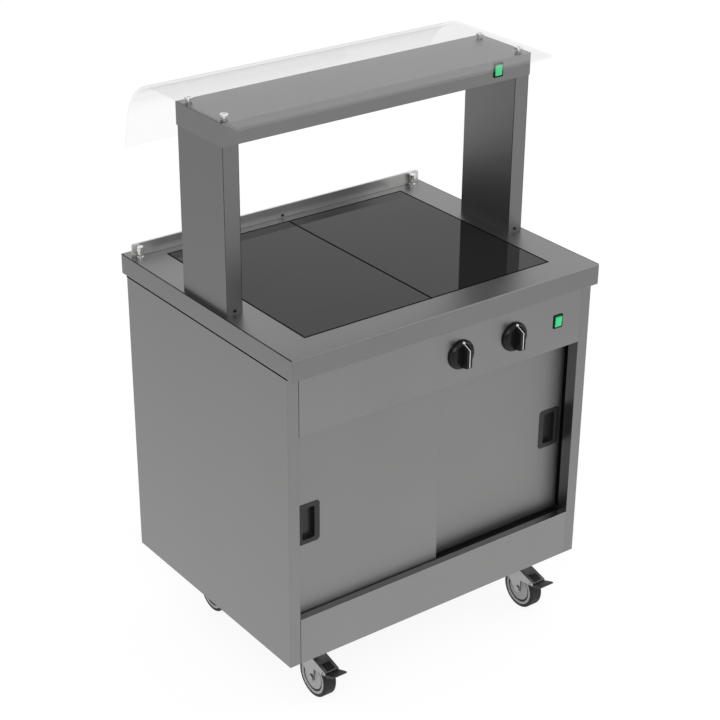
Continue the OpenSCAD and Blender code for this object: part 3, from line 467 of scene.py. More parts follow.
def link_object(name: str, data: bpy.types.ID) -> Piece:
    """Makes an object and links it to the scene.

    Args:
        name: Its name.
        data: Its mesh, lamp or camera data.

    Returns:
        The object.
    """
    made = bpy.data.objects.new(name, data)
    bpy.context.scene.collection.objects.link(made)
    return made


def clean_mesh(mesh: bpy.types.Mesh, copied: bool) -> None:
    """Merges doubled points and shades a mesh smooth up to the crease angle.

    Args:
        mesh: The mesh.
        copied: True for a CAD mesh, whose flat triangles are joined; the faces of any other mesh are
            turned outwards.
    """
    work = bmesh.new()
    work.from_mesh(mesh)
    bmesh.ops.remove_doubles(work, verts=work.verts, dist=COPY_MERGE if copied else NEW_MERGE)
    if copied:
        flat = math.radians(FLAT_DEGREES)
        bmesh.ops.dissolve_limit(work, angle_limit=flat, verts=work.verts, edges=work.edges)
    else:
        bmesh.ops.recalc_face_normals(work, faces=work.faces)
    work.to_mesh(mesh)
    work.free()
    mesh.shade_smooth()
    mesh.set_sharp_from_angle(angle=math.radians(CREASE_DEGREES))


def new_piece(name: str, points: np.ndarray, faces: Sequence[Sequence[int]]) -> Piece:
    """Makes a closed mesh piece with outward faces.

    Args:
        name: Name of the piece.
        points: Points in metres, (..., 3).
        faces: Point numbers of each face.

    Returns:
        The new object.
    """
    mesh = bpy.data.meshes.new(name)
    mesh.from_pydata(points.reshape(-1, 3).tolist(), [], faces)
    clean_mesh(mesh, copied=False)
    return link_object(name, mesh)


@dataclass(frozen=True)
class Ring:
    """A rectangle with round corners at one height of a ring surface, in metres."""

    low: tuple[float, float]
    high: tuple[float, float]
    radius: float
    out: float

    @classmethod
    def round_box(
        cls, low: np.ndarray, high: np.ndarray, radius: float, out: float, facing: Facing = Facing.UP
    ) -> "Ring":
        """Ring round a box, seen from above or from the front."""
        across = [0, 1] if facing is Facing.UP else [0, 2]
        return cls(tuple(low[across]), tuple(high[across]), radius, out)

    def points(self, corner_steps: int = CORNER_STEPS) -> np.ndarray:
        """Points round the rectangle: each corner is a quarter circle of the ring's radius.

        Args:
            corner_steps: Steps of each quarter circle.

        Returns:
            Plane coordinates, (4 * (corner_steps + 1), 2).
        """
        radius = max(self.radius, LEAST_RADIUS)
        low = np.array(self.low) + radius
        high = np.array(self.high) - radius
        centres = np.array([high, [low[0], high[1]], low, [high[0], low[1]]])
        turn = quarter_turn(corner_steps)[None, :] + np.arange(4)[:, None] * math.pi / 2
        arc = np.stack([np.cos(turn), np.sin(turn)], axis=-1) * radius
        return (centres[:, None, :] + arc).reshape(-1, 2)

    def at(self, out: float) -> "Ring":
        """The same ring at another height."""
        return replace(self, out=out)

    def grown(self, by: float, out: float) -> "Ring":
        """The same ring, larger and at another height.

        Args:
            by: How much farther out it lies all round.
            out: Its height.

        Returns:
            The larger ring.
        """
        low = (self.low[0] - by, self.low[1] - by)
        high = (self.high[0] + by, self.high[1] + by)
        return Ring(low, high, max(self.radius + by, 0.0), out)


def rounded_edge(ring: Ring, radius: float, rising: bool = True) -> list[Ring]:
    """Rings of a quarter-round edge between a wall and a flat face.

    Args:
        ring: The ring at full size, at the height of the flat face.
        radius: Radius of the edge.
        rising: True from the wall up to the flat face, False from the flat face down the wall.

    Returns:
        Rings in order; at angle t the ring shrinks by r(1 - cos t) and lies r(1 - sin t) below.
    """
    rings = [
        ring.grown(-radius * (1 - math.cos(t)), ring.out - radius * (1 - math.sin(t)))
        for t in quarter_turn(EDGE_STEPS)
    ]
    return rings if rising else rings[::-1]


def rounded_rim(ring: Ring, radius: float, floor: float) -> list[Ring]:
    """Rings from a ring's flat face down its wall to a floor, with both edges rounded."""
    below = [edge.at(floor - edge.out) for edge in rounded_edge(ring.at(0.0), radius)]
    return rounded_edge(ring, radius, rising=False) + below


def skin_piece(
    name: str, outlines: Sequence[np.ndarray], heights: Sequence[float], facing: Facing, looped: bool
) -> Piece:
    """Surface through a row of outlines.

    Args:
        name: Name of the piece.
        outlines: Plane coordinates of each outline, (n, 2).
        heights: Outward height of each outline.
        facing: Direction of the heights.
        looped: True if the last outline meets the first; otherwise both ends are capped.

    Returns:
        The new object.
    """
    flat = np.stack(outlines)
    rows, columns = flat.shape[:2]
    out = np.array(heights)[:, None] * np.ones(columns)
    faces = grid_faces(rows, columns, looped)
    if not looped:
        faces += [list(range(columns)), list(range((rows - 1) * columns, rows * columns))]
    return new_piece(name, place_points(flat, out, facing), faces)


def ring_piece(name: str, rings: Sequence[Ring], facing: Facing, looped: bool = False) -> Piece:
    """Surface through a row of rings, capped at both ends or, if looped, closed on itself."""
    return skin_piece(name, [ring.points() for ring in rings], [ring.out for ring in rings], facing, looped)


def turned_piece(
    name: str, profile: np.ndarray, centre: Sequence[float], facing: Facing, steps: int = WHEEL_STEPS
) -> Piece:
    """Body of revolution with closed ends.

    Args:
        name: Name of the piece.
        profile: Rows of (radius, height along the axis), in metres, from axis to axis or as a loop.
        centre: Plane coordinates and height of the middle.
        facing: Direction of the axis.
        steps: Steps round the axis.

    Returns:
        The new object; point (r, h) at turn t lies at (r cos t, r sin t, h) about the middle.
    """
    turn = np.linspace(0.0, 2 * math.pi, steps, endpoint=False)
    flat = profile[:, 0][:, None, None] * np.stack([np.cos(turn), np.sin(turn)], axis=-1)[None]
    out = np.repeat(profile[:, 1][:, None], steps, axis=1) + centre[2]
    points = place_points(flat + np.array(centre[:2]), out, facing)
    closed_by_axis = profile[0, 0] < ON_AXIS and profile[-1, 0] < ON_AXIS
    return new_piece(name, points, grid_faces(len(profile), steps, not closed_by_axis))


def swept_piece(name: str, outline: np.ndarray, low: float, high: float, facing: Facing) -> Piece:
    """Closed outline in plane coordinates, carried straight from a low to a high height."""
    return skin_piece(name, [outline, outline], [low, high], facing, False)


def bar_piece(name: str, low: Sequence[float], high: Sequence[float]) -> Piece:
    """A plain upright bar between two corners."""
    outline = np.array([[low[0], low[1]], [high[0], low[1]], [high[0], high[1]], [low[0], high[1]]])
    return swept_piece(name, outline, low[2], high[2], Facing.UP)


def folded_outline(path: np.ndarray, thickness: float, radius: float) -> np.ndarray:
    """Outline of a bent sheet: a path with round bends, given a thickness to its left.

    Args:
        path: Corner points of the sheet's outer face, (n, 2), in metres.
        thickness: Thickness of the sheet.
        radius: Radius of the outer face at each bend.

    Returns:
        Closed outline: the outer face there and the inner face back, offset along the path's normal.
    """
    smooth = [path[0]]
    for before, corner, after in zip(path[:-2], path[1:-1], path[2:]):
        start = (before - corner) / np.linalg.norm(before - corner)
        end = (after - corner) / np.linalg.norm(after - corner)
        middle = corner + (start + end) * radius
        for t in quarter_turn(BEND_STEPS):
            smooth.append(middle - end * radius * math.cos(t) - start * radius * math.sin(t))
    smooth.append(path[-1])
    outer = np.array(smooth)
    along = np.gradient(outer, axis=0)
    along /= np.linalg.norm(along, axis=1, keepdims=True)
    inner = outer + np.stack([-along[:, 1], along[:, 0]], axis=-1) * thickness
    return np.concatenate([outer, inner[::-1]])


def soften(piece: Piece, width: float, segments: int = 2) -> None:
    """Rounds the sharp edges of a piece with a bevel.

    Args:
        piece: The object.
        width: Width of the bevel in metres.
        segments: Steps across the bevel.
    """
    bevel = piece.modifiers.new("soft edges", "BEVEL")
    bevel.width = width
    bevel.segments = segments
    bevel.limit_method = "ANGLE"
    bevel.angle_limit = math.radians(BEVEL_DEGREES)
    bevel.harden_normals = True


def softened_copy(node: str, width: float) -> Piece:
    """A copy of a CAD node with joined faces and softly rounded edges.

    Args:
        node: Name of the node.
        width: Width of the rounding in metres.

    Returns:
        The new object.
    """
    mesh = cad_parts[node].data.copy()
    mesh.materials.clear()
    clean_mesh(mesh, copied=True)
    piece = link_object(f"{node}_soft", mesh)
    soften(piece, width)
    return piece


def dress(piece: Piece, finish: Finish, body: str, *nodes: str) -> None:
    """Gives a new piece its finish, its body and the CAD nodes that it stands for.

    Weighted normals keep the large flat faces flat between their narrow rounded edges.

    Args:
        piece: The object.
        finish: Its finish.
        body: Name of the body that it rides on.
        nodes: CAD nodes that it replaces.
    """
    piece.data.materials.append(material_of(finish))
    even = piece.modifiers.new("flat faces", "WEIGHTED_NORMAL")
    even.keep_sharp = True
    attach(piece, body)
    if nodes:
        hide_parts(*nodes)
    log.info("%s: %d faces, %s, rides on %s", piece.name, len(piece.data.polygons), finish.name, body)


def paint(finish: Finish, *nodes: str) -> None:
    """Gives CAD nodes that stay visible their finish.

    Args:
        finish: The finish.
        nodes: Names of the nodes.
    """
    for name in nodes:
        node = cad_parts[name]
        node.data.materials.clear()
        node.data.materials.append(material_of(finish))
        log.info("%s: kept, %s", name, finish.name)


@dataclass(frozen=True)
class Worktop:
    """Worktop pan, its two hot plates and the bead of their seal."""

    fold: float = 2.2 * MM
    sheet: float = 1.5 * MM
    lip: float = 15 * MM
    collar_depth: float = 6.3 * MM
    collar_edge: float = 0.8 * MM
    hole_corner: float = 1.0 * MM
    plate_corner: float = 1.5 * MM
    plate_edge: float = 0.7 * MM
    bead_in: float = 2.7 * MM
    bead_out: float = 1.0 * MM
    bead_rise: float = 0.2 * MM

    def build(self) -> None:
        """Makes the pan, the plates and the bead of their seal, and keeps the rest of it."""
        low, high = box("worktop")
        hole = Ring.round_box(*box("plate_seal"), self.hole_corner, high[2])
        self.pan(low, high, hole)
        self.plate("hot_plate_left")
        self.plate("hot_plate_right")
        self.bead(hole)
        paint(SEAL_AND_SHADE, "plate_seal")
        paint(CASE, "plate_elements")

    def pan(self, low: np.ndarray, high: np.ndarray, hole: Ring) -> None:
        """Pan: rings from the plates' opening out over the top, down the apron and back inside.

        Args:
            low: Lowest corner of the worktop.
            high: Highest corner of the worktop.
            hole: The plates' opening at the height of the top.
        """
        top, foot = high[2], high[2] - self.collar_depth
        under, ledge = top - self.sheet, low[2] + self.sheet
        outer = Ring.round_box(low, high, self.fold, top)
        inner = outer.grown(-self.sheet, under)
        lip = outer.grown(-self.lip, low[2])
        back = hole.grown(self.sheet, under)
        rings = [hole.at(foot), hole.at(top - self.collar_edge), hole.grown(self.collar_edge, top)]
        rings += rounded_rim(outer, self.fold, low[2])
        rings += [lip, lip.at(ledge), inner.at(ledge), inner, back, back.at(foot)]
        dress(ring_piece("worktop_pan", rings, Facing.UP, looped=True), TOP_STEEL, COUNTER, "worktop")

    def bead(self, hole: Ring) -> None:
        """Bead of the seal: a low black ring that laps the rims of the plates and of the pan.

        Args:
            hole: The plates' opening at the height of the top.
        """
        foot, crest = hole.out - self.plate_edge, hole.out + self.bead_rise
        rings = [hole.grown(self.bead_out, foot), hole.grown(self.bead_out, crest)]
        rings += [hole.grown(-self.bead_in, crest), hole.grown(-self.bead_in, foot)]
        dress(ring_piece("plate_bead", rings, Facing.UP, looped=True), SEAL_AND_SHADE, COUNTER)

    def plate(self, node: str) -> None:
        """Hot plate: a slab with a small round along its upper edge.

        Args:
            node: CAD node of the plate.
        """
        low, high = box(node)
        full = Ring.round_box(low, high, self.plate_corner, high[2])
        rings = [full.at(low[2])] + rounded_edge(full, self.plate_edge)
        dress(ring_piece(f"{node}_glass", rings, Facing.UP), HOT_GLASS, COUNTER, node)


@dataclass(frozen=True)
class Cabinet:
    """Outer panels, the cupboard inside and the tracks of the doors."""

    fold: float = 1.6 * MM
    sheet: float = 1.2 * MM
    return_depth: float = 30 * MM
    # clearance of the black bars of painted shade behind the returns
    shade_bar_gap: float = 0.8 * MM
    ledge: float = 20 * MM
    step: float = 12 * MM

    def build(self) -> None:
        """Makes the folded panels and dresses the plain inner ones."""
        self.side_panel("left_side_panel", 1.0)
        self.side_panel("right_side_panel", -1.0)
        self.front_panel()
        # black bars that paint the shade in the gaps behind the returns
        self.gap_shade_bars()
        paint(PANEL_STEEL, "control_panel", "base_tray", "back_panel")
        paint(INSIDE_STEEL, "left_liner", "right_liner", "back_liner", "roof_liner")
        paint(INSIDE_STEEL, "cupboard_floor", "middle_shelf", "shelf_rests")
        # tracks painted near black as shade
        paint(TRACK_PAINTED_SHADE, "top_track", "bottom_track")
        paint(WOOL, "insulation")
        paint(CASE, "cupboard_heater", "thermostats")
        paint(WHITE_PLASTIC, "terminal_block")
        paint(BLACK, "cable_gland")

    def side_panel(self, node: str, side: float) -> None:
        """Cabinet side: one sheet bent at the back flange, the front corner and the return.

        Args:
            node: CAD node of the panel.
            side: 1 for the left panel, -1 for its mirror image.
        """
        low, high = box(node)
        near, far = (low[0], high[0]) if side > 0 else (-high[0], -low[0])
        front, back = low[1], high[1]
        turned_in = front + self.return_depth
        path = np.array([[far, back], [near, back], [near, front], [far, front], [far, turned_in]])
        outline = folded_outline(path, self.sheet, self.fold) * np.array([side, 1.0])
        piece = swept_piece(f"{node}_sheet", outline, low[2], high[2], Facing.UP)
        dress(piece, SIDE_STEEL, COUNTER, node)

    def front_panel(self) -> None:
        """Lower front panel: face, ledge, step down and the fold below the track."""
        low, high = box("lower_front_panel")
        face, rear = low[1], low[1] + self.ledge
        top, floor = high[2], high[2] - self.step
        path = np.array([[face, low[2]], [face, top], [rear, top], [rear, floor], [high[1], floor]])
        outline = folded_outline(path, -self.sheet, self.fold)
        piece = swept_piece("lower_front_sheet", outline, low[0], high[0], Facing.SIDE)
        dress(piece, PANEL_STEEL, COUNTER, "lower_front_panel")

    def gap_shade_bars(self) -> None:
        """Black bars of painted shade behind each return, up to just short of the rear door, from sill to
        control panel.
        """
        panel, door = box("control_panel"), box("right_door")
        side_low = box("left_side_panel")[0]
        sill = box("lower_front_panel")[1][2]
        near = side_low[1] + self.return_depth + self.shade_bar_gap / 4
        for side, name in ((-1, "left_gap_shade_bar"), (1, "right_gap_shade_bar")):
            inner, outer = panel[1][0] + 2 * self.shade_bar_gap, -side_low[0] - self.sheet - self.shade_bar_gap
            ends = sorted((side * inner, side * outer))
            far = (ends[1], door[0][1] - self.shade_bar_gap, panel[0][2])
            dress(bar_piece(name, (ends[0], near, sill), far), SEAL_AND_SHADE, COUNTER)


@dataclass(frozen=True)
class SlidingDoor:
    """One sliding door with its finger cup, whose mouth has a width and a height.

    A row of its bends is (how far out of the mouth, depth below the rim or height above the floor).
    """

    door: str
    cup: str
    edge: float = 1.2 * MM
    panel_corner: float = 1.0 * MM
    pocket_corner: float = 8 * MM
    pocket_fit: float = 0.3 * MM
    pocket_floor: float = 1.5 * MM
    rim_width: float = 7.0 * MM
    rim_round: float = 0.9 * MM
    rim_corner: float = 9 * MM
    body_corner: float = 7 * MM
    mouth_size: tuple[float, float] = (32 * MM, 76 * MM)
    mouth_corner: float = 4 * MM
    mouth_bend: tuple = ((1.0 * MM, 0.0), (0.3 * MM, 0.3 * MM), (0.0, 1.0 * MM))
    floor_bend: tuple = ((-1.0 * MM, 2.0 * MM), (-2.5 * MM, 0.0))
    depth: float = 11 * MM
    proud: float = 1.0 * MM

    def build(self) -> None:
        """Makes the panel and the cup."""
        low, high = box(self.door)
        cup_low, cup_high = box(self.cup)
        face, back = -low[1], -high[1]
        rim = self.rim_width
        pocket = Ring.round_box(cup_low + rim, cup_high - rim, self.pocket_corner, face, Facing.FRONT)
        pocket = pocket.grown(self.pocket_fit, face)
        outer = Ring.round_box(low, high, self.panel_corner, face, Facing.FRONT)
        rings = [pocket.at(back + self.pocket_floor), pocket] + rounded_rim(outer, self.edge, back)
        dress(ring_piece(f"{self.door}_panel", rings, Facing.FRONT), DOOR_STEEL, self.door, self.door)
        self.finger_cup(cup_low, cup_high, face)

    def finger_cup(self, low: np.ndarray, high: np.ndarray, face: float) -> None:
        """Cup: back body, flange, rounded rim, recess walls and recess floor.

        Args:
            low: Lowest corner of the cup's node.
            high: Highest corner of the cup's node.
            face: Height of the door's face, outwards.
        """
        top, floor = face + self.proud, face - self.depth
        half = np.array([self.mouth_size[0], 0.0, self.mouth_size[1]]) / 2
        middle = (low + high) / 2
        rim = Ring.round_box(low, high, self.rim_corner, top, Facing.FRONT)
        inner_low, inner_high = low + self.rim_width, high - self.rim_width
        body = Ring.round_box(inner_low, inner_high, self.body_corner, face, Facing.FRONT)
        mouth = Ring.round_box(middle - half, middle + half, self.mouth_corner, top, Facing.FRONT)
        rings = [body.at(-high[1]), body, rim.at(face)] + rounded_edge(rim, self.rim_round)
        rings += [mouth.grown(by, top - depth) for by, depth in self.mouth_bend]
        rings += [mouth.grown(by, floor + height) for by, height in self.floor_bend]
        dress(ring_piece(f"{self.cup}_moulding", rings, Facing.FRONT), BLACK, self.door, self.cup)


@dataclass(frozen=True)
class Knob:
    """Control knob: skirt, grip bar with a pointer line and a dot, and the spindle behind.

    Heights run outwards from the control panel. A row of the rim is (share of the radius, height);
    a row of the grip is (share of the radius upwards, share of the reach outwards); the ends of the line
    are given from the grip's corners, upwards and outwards.
    """

    node: str
    spindle: float = 3.0 * MM
    rim: tuple = ((0.98, 0.5 * MM), (1.0, 1.0 * MM), (1.0, 3.0 * MM), (0.99, 3.8 * MM))
    flank_steps: int = 8
    flank_in: float = 0.24
    flank_foot: float = 4.0 * MM
    flank_rise: float = 7.5 * MM
    crown_share: float = 0.5
    crown_out: float = 12.4 * MM
    grip: tuple = ((-0.84, 0.08), (-0.64, 1.0), (0.57, 1.0), (0.82, 0.36), (0.82, 0.08))
    grip_width: float = 15 * MM
    grip_round: float = 1.4 * MM
    line_width: float = 1.8 * MM
    line_ends: tuple = ((2.0 * MM, 0.12 * MM), (0.4 * MM, 0.12 * MM), (0.12 * MM, 0.6 * MM))
    line_depth: tuple[float, float] = (0.5 * MM, 1.2 * MM)
    dot: tuple = ((0.0, 7.0 * MM), (3.0 * MM, 7.0 * MM), (3.0 * MM, 10.4 * MM), (0.0, 11.2 * MM))
    dot_up: float = 0.88

    def build(self) -> None:
        """Makes the skirt, the grip, the pointer line and the dot."""
        low, high = box(self.node)
        panel = -box("control_panel")[0][1]
        radius = (high[0] - low[0]) / 2
        middle = (low + high) / 2
        centre = np.array([middle[0], middle[2], panel])
        self.skirt(centre, radius, -high[1] - panel)
        grip = np.array(self.grip) * np.array([radius, -low[1] - panel])
        piece = self.across(f"{self.node}_grip", grip, centre, self.grip_width / 2)
        soften(piece, self.grip_round, 3)
        dress(piece, GLOSS_BLACK, self.node)
        line = grip[1:4] + self.line_ends
        stripe = np.concatenate([line, (line - self.line_depth)[::-1]])
        piece = self.across(f"{self.node}_pointer", stripe, centre, self.line_width / 2)
        dress(piece, WHITE_PRINT, self.node)
        spot = centre + [0.0, self.dot_up * radius, 0.0]
        piece = turned_piece(f"{self.node}_dot", np.array(self.dot), spot, Facing.FRONT, DOT_STEPS)
        dress(piece, WHITE_PRINT, self.node)

    def skirt(self, centre: np.ndarray, radius: float, back: float) -> None:
        """Skirt: thin rim, concave flank and flat crown, turned about the spindle.

        Args:
            centre: Middle of the knob on the panel.
            radius: Outer radius.
            back: Height of the spindle's rear end, below the panel's face.
        """
        rim = np.array(self.rim)
        t = np.linspace(0.0, 1.0, self.flank_steps + 1)[1:]
        heights = self.flank_foot + self.flank_rise * np.sin(t * math.pi / 2)
        flank = np.stack([radius * (1 - self.flank_in * t), heights], axis=-1)
        spindle = [[0.0, back], [self.spindle, back], [self.spindle, rim[0, 1]]]
        crown = [[radius * self.crown_share, self.crown_out], [0.0, self.crown_out]]
        profile = np.concatenate([spindle, rim * [radius, 1.0], flank, crown])
        piece = turned_piece(f"{self.node}_skirt", profile, centre, Facing.FRONT)
        dress(piece, GLOSS_BLACK, self.node, self.node)

    def across(self, name: str, rows: np.ndarray, centre: np.ndarray, half: float) -> Piece:
        """Outline of (height above the middle, height out of the panel), swept across the knob."""
        outline = np.stack([-(centre[2] + rows[:, 1]), centre[1] + rows[:, 0]], axis=-1)
        return swept_piece(name, outline, centre[0] - half, centre[0] + half, Facing.SIDE)


@dataclass(frozen=True)
class Switches:
    """Green rocker keys with their black frames."""

    key_edge: float = 0.6 * MM
    frame_edge: float = 0.5 * MM

    def build(self) -> None:
        """Makes both keys, each on its own body, and both frames in one piece."""
        for rocker in ("panel_rocker", "header_rocker"):
            dress(softened_copy(rocker, self.key_edge), LENS, rocker, rocker)
        dress(softened_copy("rocker_bezels", self.frame_edge), FRAME_BLACK, COUNTER, "rocker_bezels")


@dataclass(frozen=True)
class Gantry:
    """Posts, lamp header, lamps and the upstand strip.

    A row of the pillar is (share of its radius, share of its height).
    """

    fold: float = 2.0 * MM
    fold_steps: int = 5
    header_edge: float = 1.0 * MM
    strip_corner: float = 8 * MM
    strip_steps: int = 7
    strip_edge: float = 0.6 * MM
    pillar: tuple = (
        (0.0, 0.0), (1.0, 0.0), (1.0, 0.1), (0.78, 0.14), (0.78, 0.5),
        (1.0, 0.55), (1.0, 0.92), (0.88, 1.0), (0.0, 1.0),
    )  # fmt: skip

    def build(self) -> None:
        """Makes the posts and the header and dresses what they hold."""
        self.post("left_post")
        self.post("right_post")
        dress(softened_copy("header_shell", self.header_edge), HEADER_STEEL, COUNTER, "header_shell")
        paint(LINER, "header_reflector")
        paint(LAMP, "heat_lamps")
        self.strip()
        self.pillars()
        paint(SCREW, "screws")

    def post(self, node: str) -> None:
        """Post: a rounded tube outline carried up from the worktop.

        Args:
            node: CAD node of the post.
        """
        low, high = box(node)
        outline = Ring.round_box(low, high, self.fold, 0.0).points(self.fold_steps)
        dress(swept_piece(f"{node}_tube", outline, low[2], high[2], Facing.UP), POST_STEEL, COUNTER, node)

    def strip(self) -> None:
        """Upstand strip: a flat outline with round upper corners, swept through its thickness."""
        low, high = box("rear_strip")
        radius = self.strip_corner
        turn = quarter_turn(self.strip_steps)
        level = high[2] - radius
        right = np.stack([high[0] - radius + radius * np.cos(turn), level + radius * np.sin(turn)], -1)
        left = np.stack([low[0] + radius - radius * np.sin(turn), level + radius * np.cos(turn)], -1)
        outline = np.concatenate([[[low[0], low[2]], [high[0], low[2]]], right, left])
        piece = swept_piece("upstand_strip", outline, -high[1], -low[1], Facing.FRONT)
        soften(piece, self.strip_edge)
        dress(piece, STRIP, COUNTER, "rear_strip")

    def pillars(self) -> None:
        """Pillars of the strip: turned, with a waisted neck and a rounded head."""
        low, high = box("strip_pillars")
        radius = (high[1] - low[1]) / 2
        profile = np.array(self.pillar) * [radius, high[2] - low[2]]
        y = (low[1] + high[1]) / 2
        for side, x, nodes in (("left", low[0] + radius, ["strip_pillars"]), ("right", high[0] - radius, [])):
            piece = turned_piece(f"strip_pillar_{side}", profile, (x, y, low[2]), Facing.UP, FITTING_STEPS)
            dress(piece, CHROME, COUNTER, *nodes)


@dataclass(frozen=True)
class FoldShades:
    """Dark strips painted along the folds of the posts, the header's ends and the worktop's sides, standing
    for the shade and dark reflection along each fold, and a black bar of painted shade in the gap below the
    apron.
    """

    inset: float = 0.15 * MM
    rise: float = 0.05 * MM
    wide: float = 1.9 * MM
    narrow: float = 0.9 * MM

    def build(self) -> None:
        """Makes the dark fold strips and the black bar below the apron, all painted shade."""
        inset, rise, wide, narrow = self.inset, self.rise, self.wide, self.narrow
        for node in ("worktop", "header_shell"):
            (_, front, _), (_, back, top) = box(node)
            ends = ((front + wide, top - wide), (back - wide, top + rise))
            self.pair(f"{node}_weld", (node, node), (-rise, wide), ends, FOLD_SHADE)
        for node in ("left_post", "right_post"):
            (_, front, foot), (_, _, top) = box(node)
            ends = ((front + inset, foot), (front + narrow, top))
            self.pair(f"{node}_weld", (node, node), (-inset, narrow), ends, FOLD_SHADE)
        # black bar that paints the shadow in the gap below the apron
        (_, front, _), (_, back, top) = box("left_side_panel")
        sides = ("left_side_panel", "right_side_panel")
        self.pair("apron_gap_shade", sides, (narrow, wide), ((front, top - wide), (back, top)), SEAL_AND_SHADE)

    def pair(
        self, name: str, nodes: Sequence[str], reach: Sequence[float], ends: Sequence[tuple], finish: Finish
    ) -> None:
        """Makes a bar along the left edge of one node and one along the right edge of another.

        Args:
            name: Name of the bars, without their side.
            nodes: Left and right node.
            reach: How far the bars go out past the edge and in from it.
            ends: Lowest and highest (Y, Z) of the bars.
            finish: Finish of the bars.
        """
        left, right = box(nodes[0])[0][0], box(nodes[1])[1][0]
        for side, edge, turn in (("left", left, -1), ("right", right, 1)):
            low, high = sorted((edge + turn * reach[0], edge - turn * reach[1]))
            dress(bar_piece(f"{name}_{side}", (low, *ends[0]), (high, *ends[1])), finish, COUNTER)


@dataclass(frozen=True)
class ServingGlass:
    """Curved glass with its bolts and collars.

    A row of the cap is (radius, height from its top), in mm. The collar has an inner and an outer radius.
    """

    thickness: float = 6 * MM
    bend_radius: float = 125 * MM
    turn_degrees: float = 75.5
    drop: float = 76 * MM
    bend_from_front: float = 311 * MM
    bend_points: int = 40
    edge: float = 0.6 * MM
    cap: tuple = (
        (4.0, -3.5), (9.0, -3.5), (9.0, -0.8), (8.2, 0.0), (4.0, 0.0), (3.6, -0.4), (3.4, -2.2), (0.0, -2.2)
    )  # fmt: skip
    collar: tuple[float, float] = (4.2 * MM, 7.0 * MM)

    def build(self) -> None:
        """Makes the glass and its fixings."""
        low, high = box("curved_glass")
        piece = swept_piece("serving_glass", self.outline(low, high), low[0], high[0], Facing.SIDE)
        soften(piece, self.edge)
        dress(piece, GLASS, COUNTER, "curved_glass")
        self.bolts()

    def outline(self, low: np.ndarray, high: np.ndarray) -> np.ndarray:
        """Side outline in (Y, Z): flat, arc (y + r sin t, z + r cos t) and straight drop, there and back.

        Args:
            low: Lowest corner of the glass.
            high: Highest corner of the glass.

        Returns:
            Outline in metres.
        """
        bend = np.array([low[1] + self.bend_from_front, high[2] - self.bend_radius])
        last = math.radians(self.turn_degrees)
        turn = np.linspace(0.0, last, self.bend_points)
        drop = self.drop * np.array([math.cos(last), -math.sin(last)])

        def face(radius: float) -> np.ndarray:
            """One face of the sheet, at its radius round the bend."""
            arc = bend + radius * np.stack([np.sin(turn), np.cos(turn)], axis=-1)
            return np.concatenate([[[low[1], bend[1] + radius]], arc, [arc[-1] + drop]])

        return np.concatenate([face(self.bend_radius - self.thickness), face(self.bend_radius)[::-1]])

    def bolts(self) -> None:
        """Four bolts: turned caps with a socket, shanks and collars."""
        low, high = box("glass_bolts")
        collar_low, collar_high = box("glass_collars")
        cap = np.array(self.cap) * MM
        radius = cap[:, 0].max()
        foot = low[2] - high[2]
        bolt = np.concatenate([[[0.0, foot], [cap[0, 0], foot]], cap])
        inner, outer = self.collar
        base, crest = collar_low[2], collar_high[2]
        collar = np.array([[inner, base], [outer, base], [outer, crest], [inner, crest]])
        fixings = (("glass_bolt", bolt, high[2], CHROME), ("glass_collar", collar, 0.0, COLLAR))
        for row, y in (("front", low[1] + radius), ("rear", high[1] - radius)):
            for side, x in (("left", low[0] + radius), ("right", high[0] - radius)):
                first = (row, side) == ("front", "left")
                for name, profile, z, finish in fixings:
                    centre = (x, y, z)
                    piece = turned_piece(f"{name}_{row}_{side}", profile, centre, Facing.UP, FITTING_STEPS)
                    dress(piece, finish, COUNTER, *([f"{name}s"] if first else []))


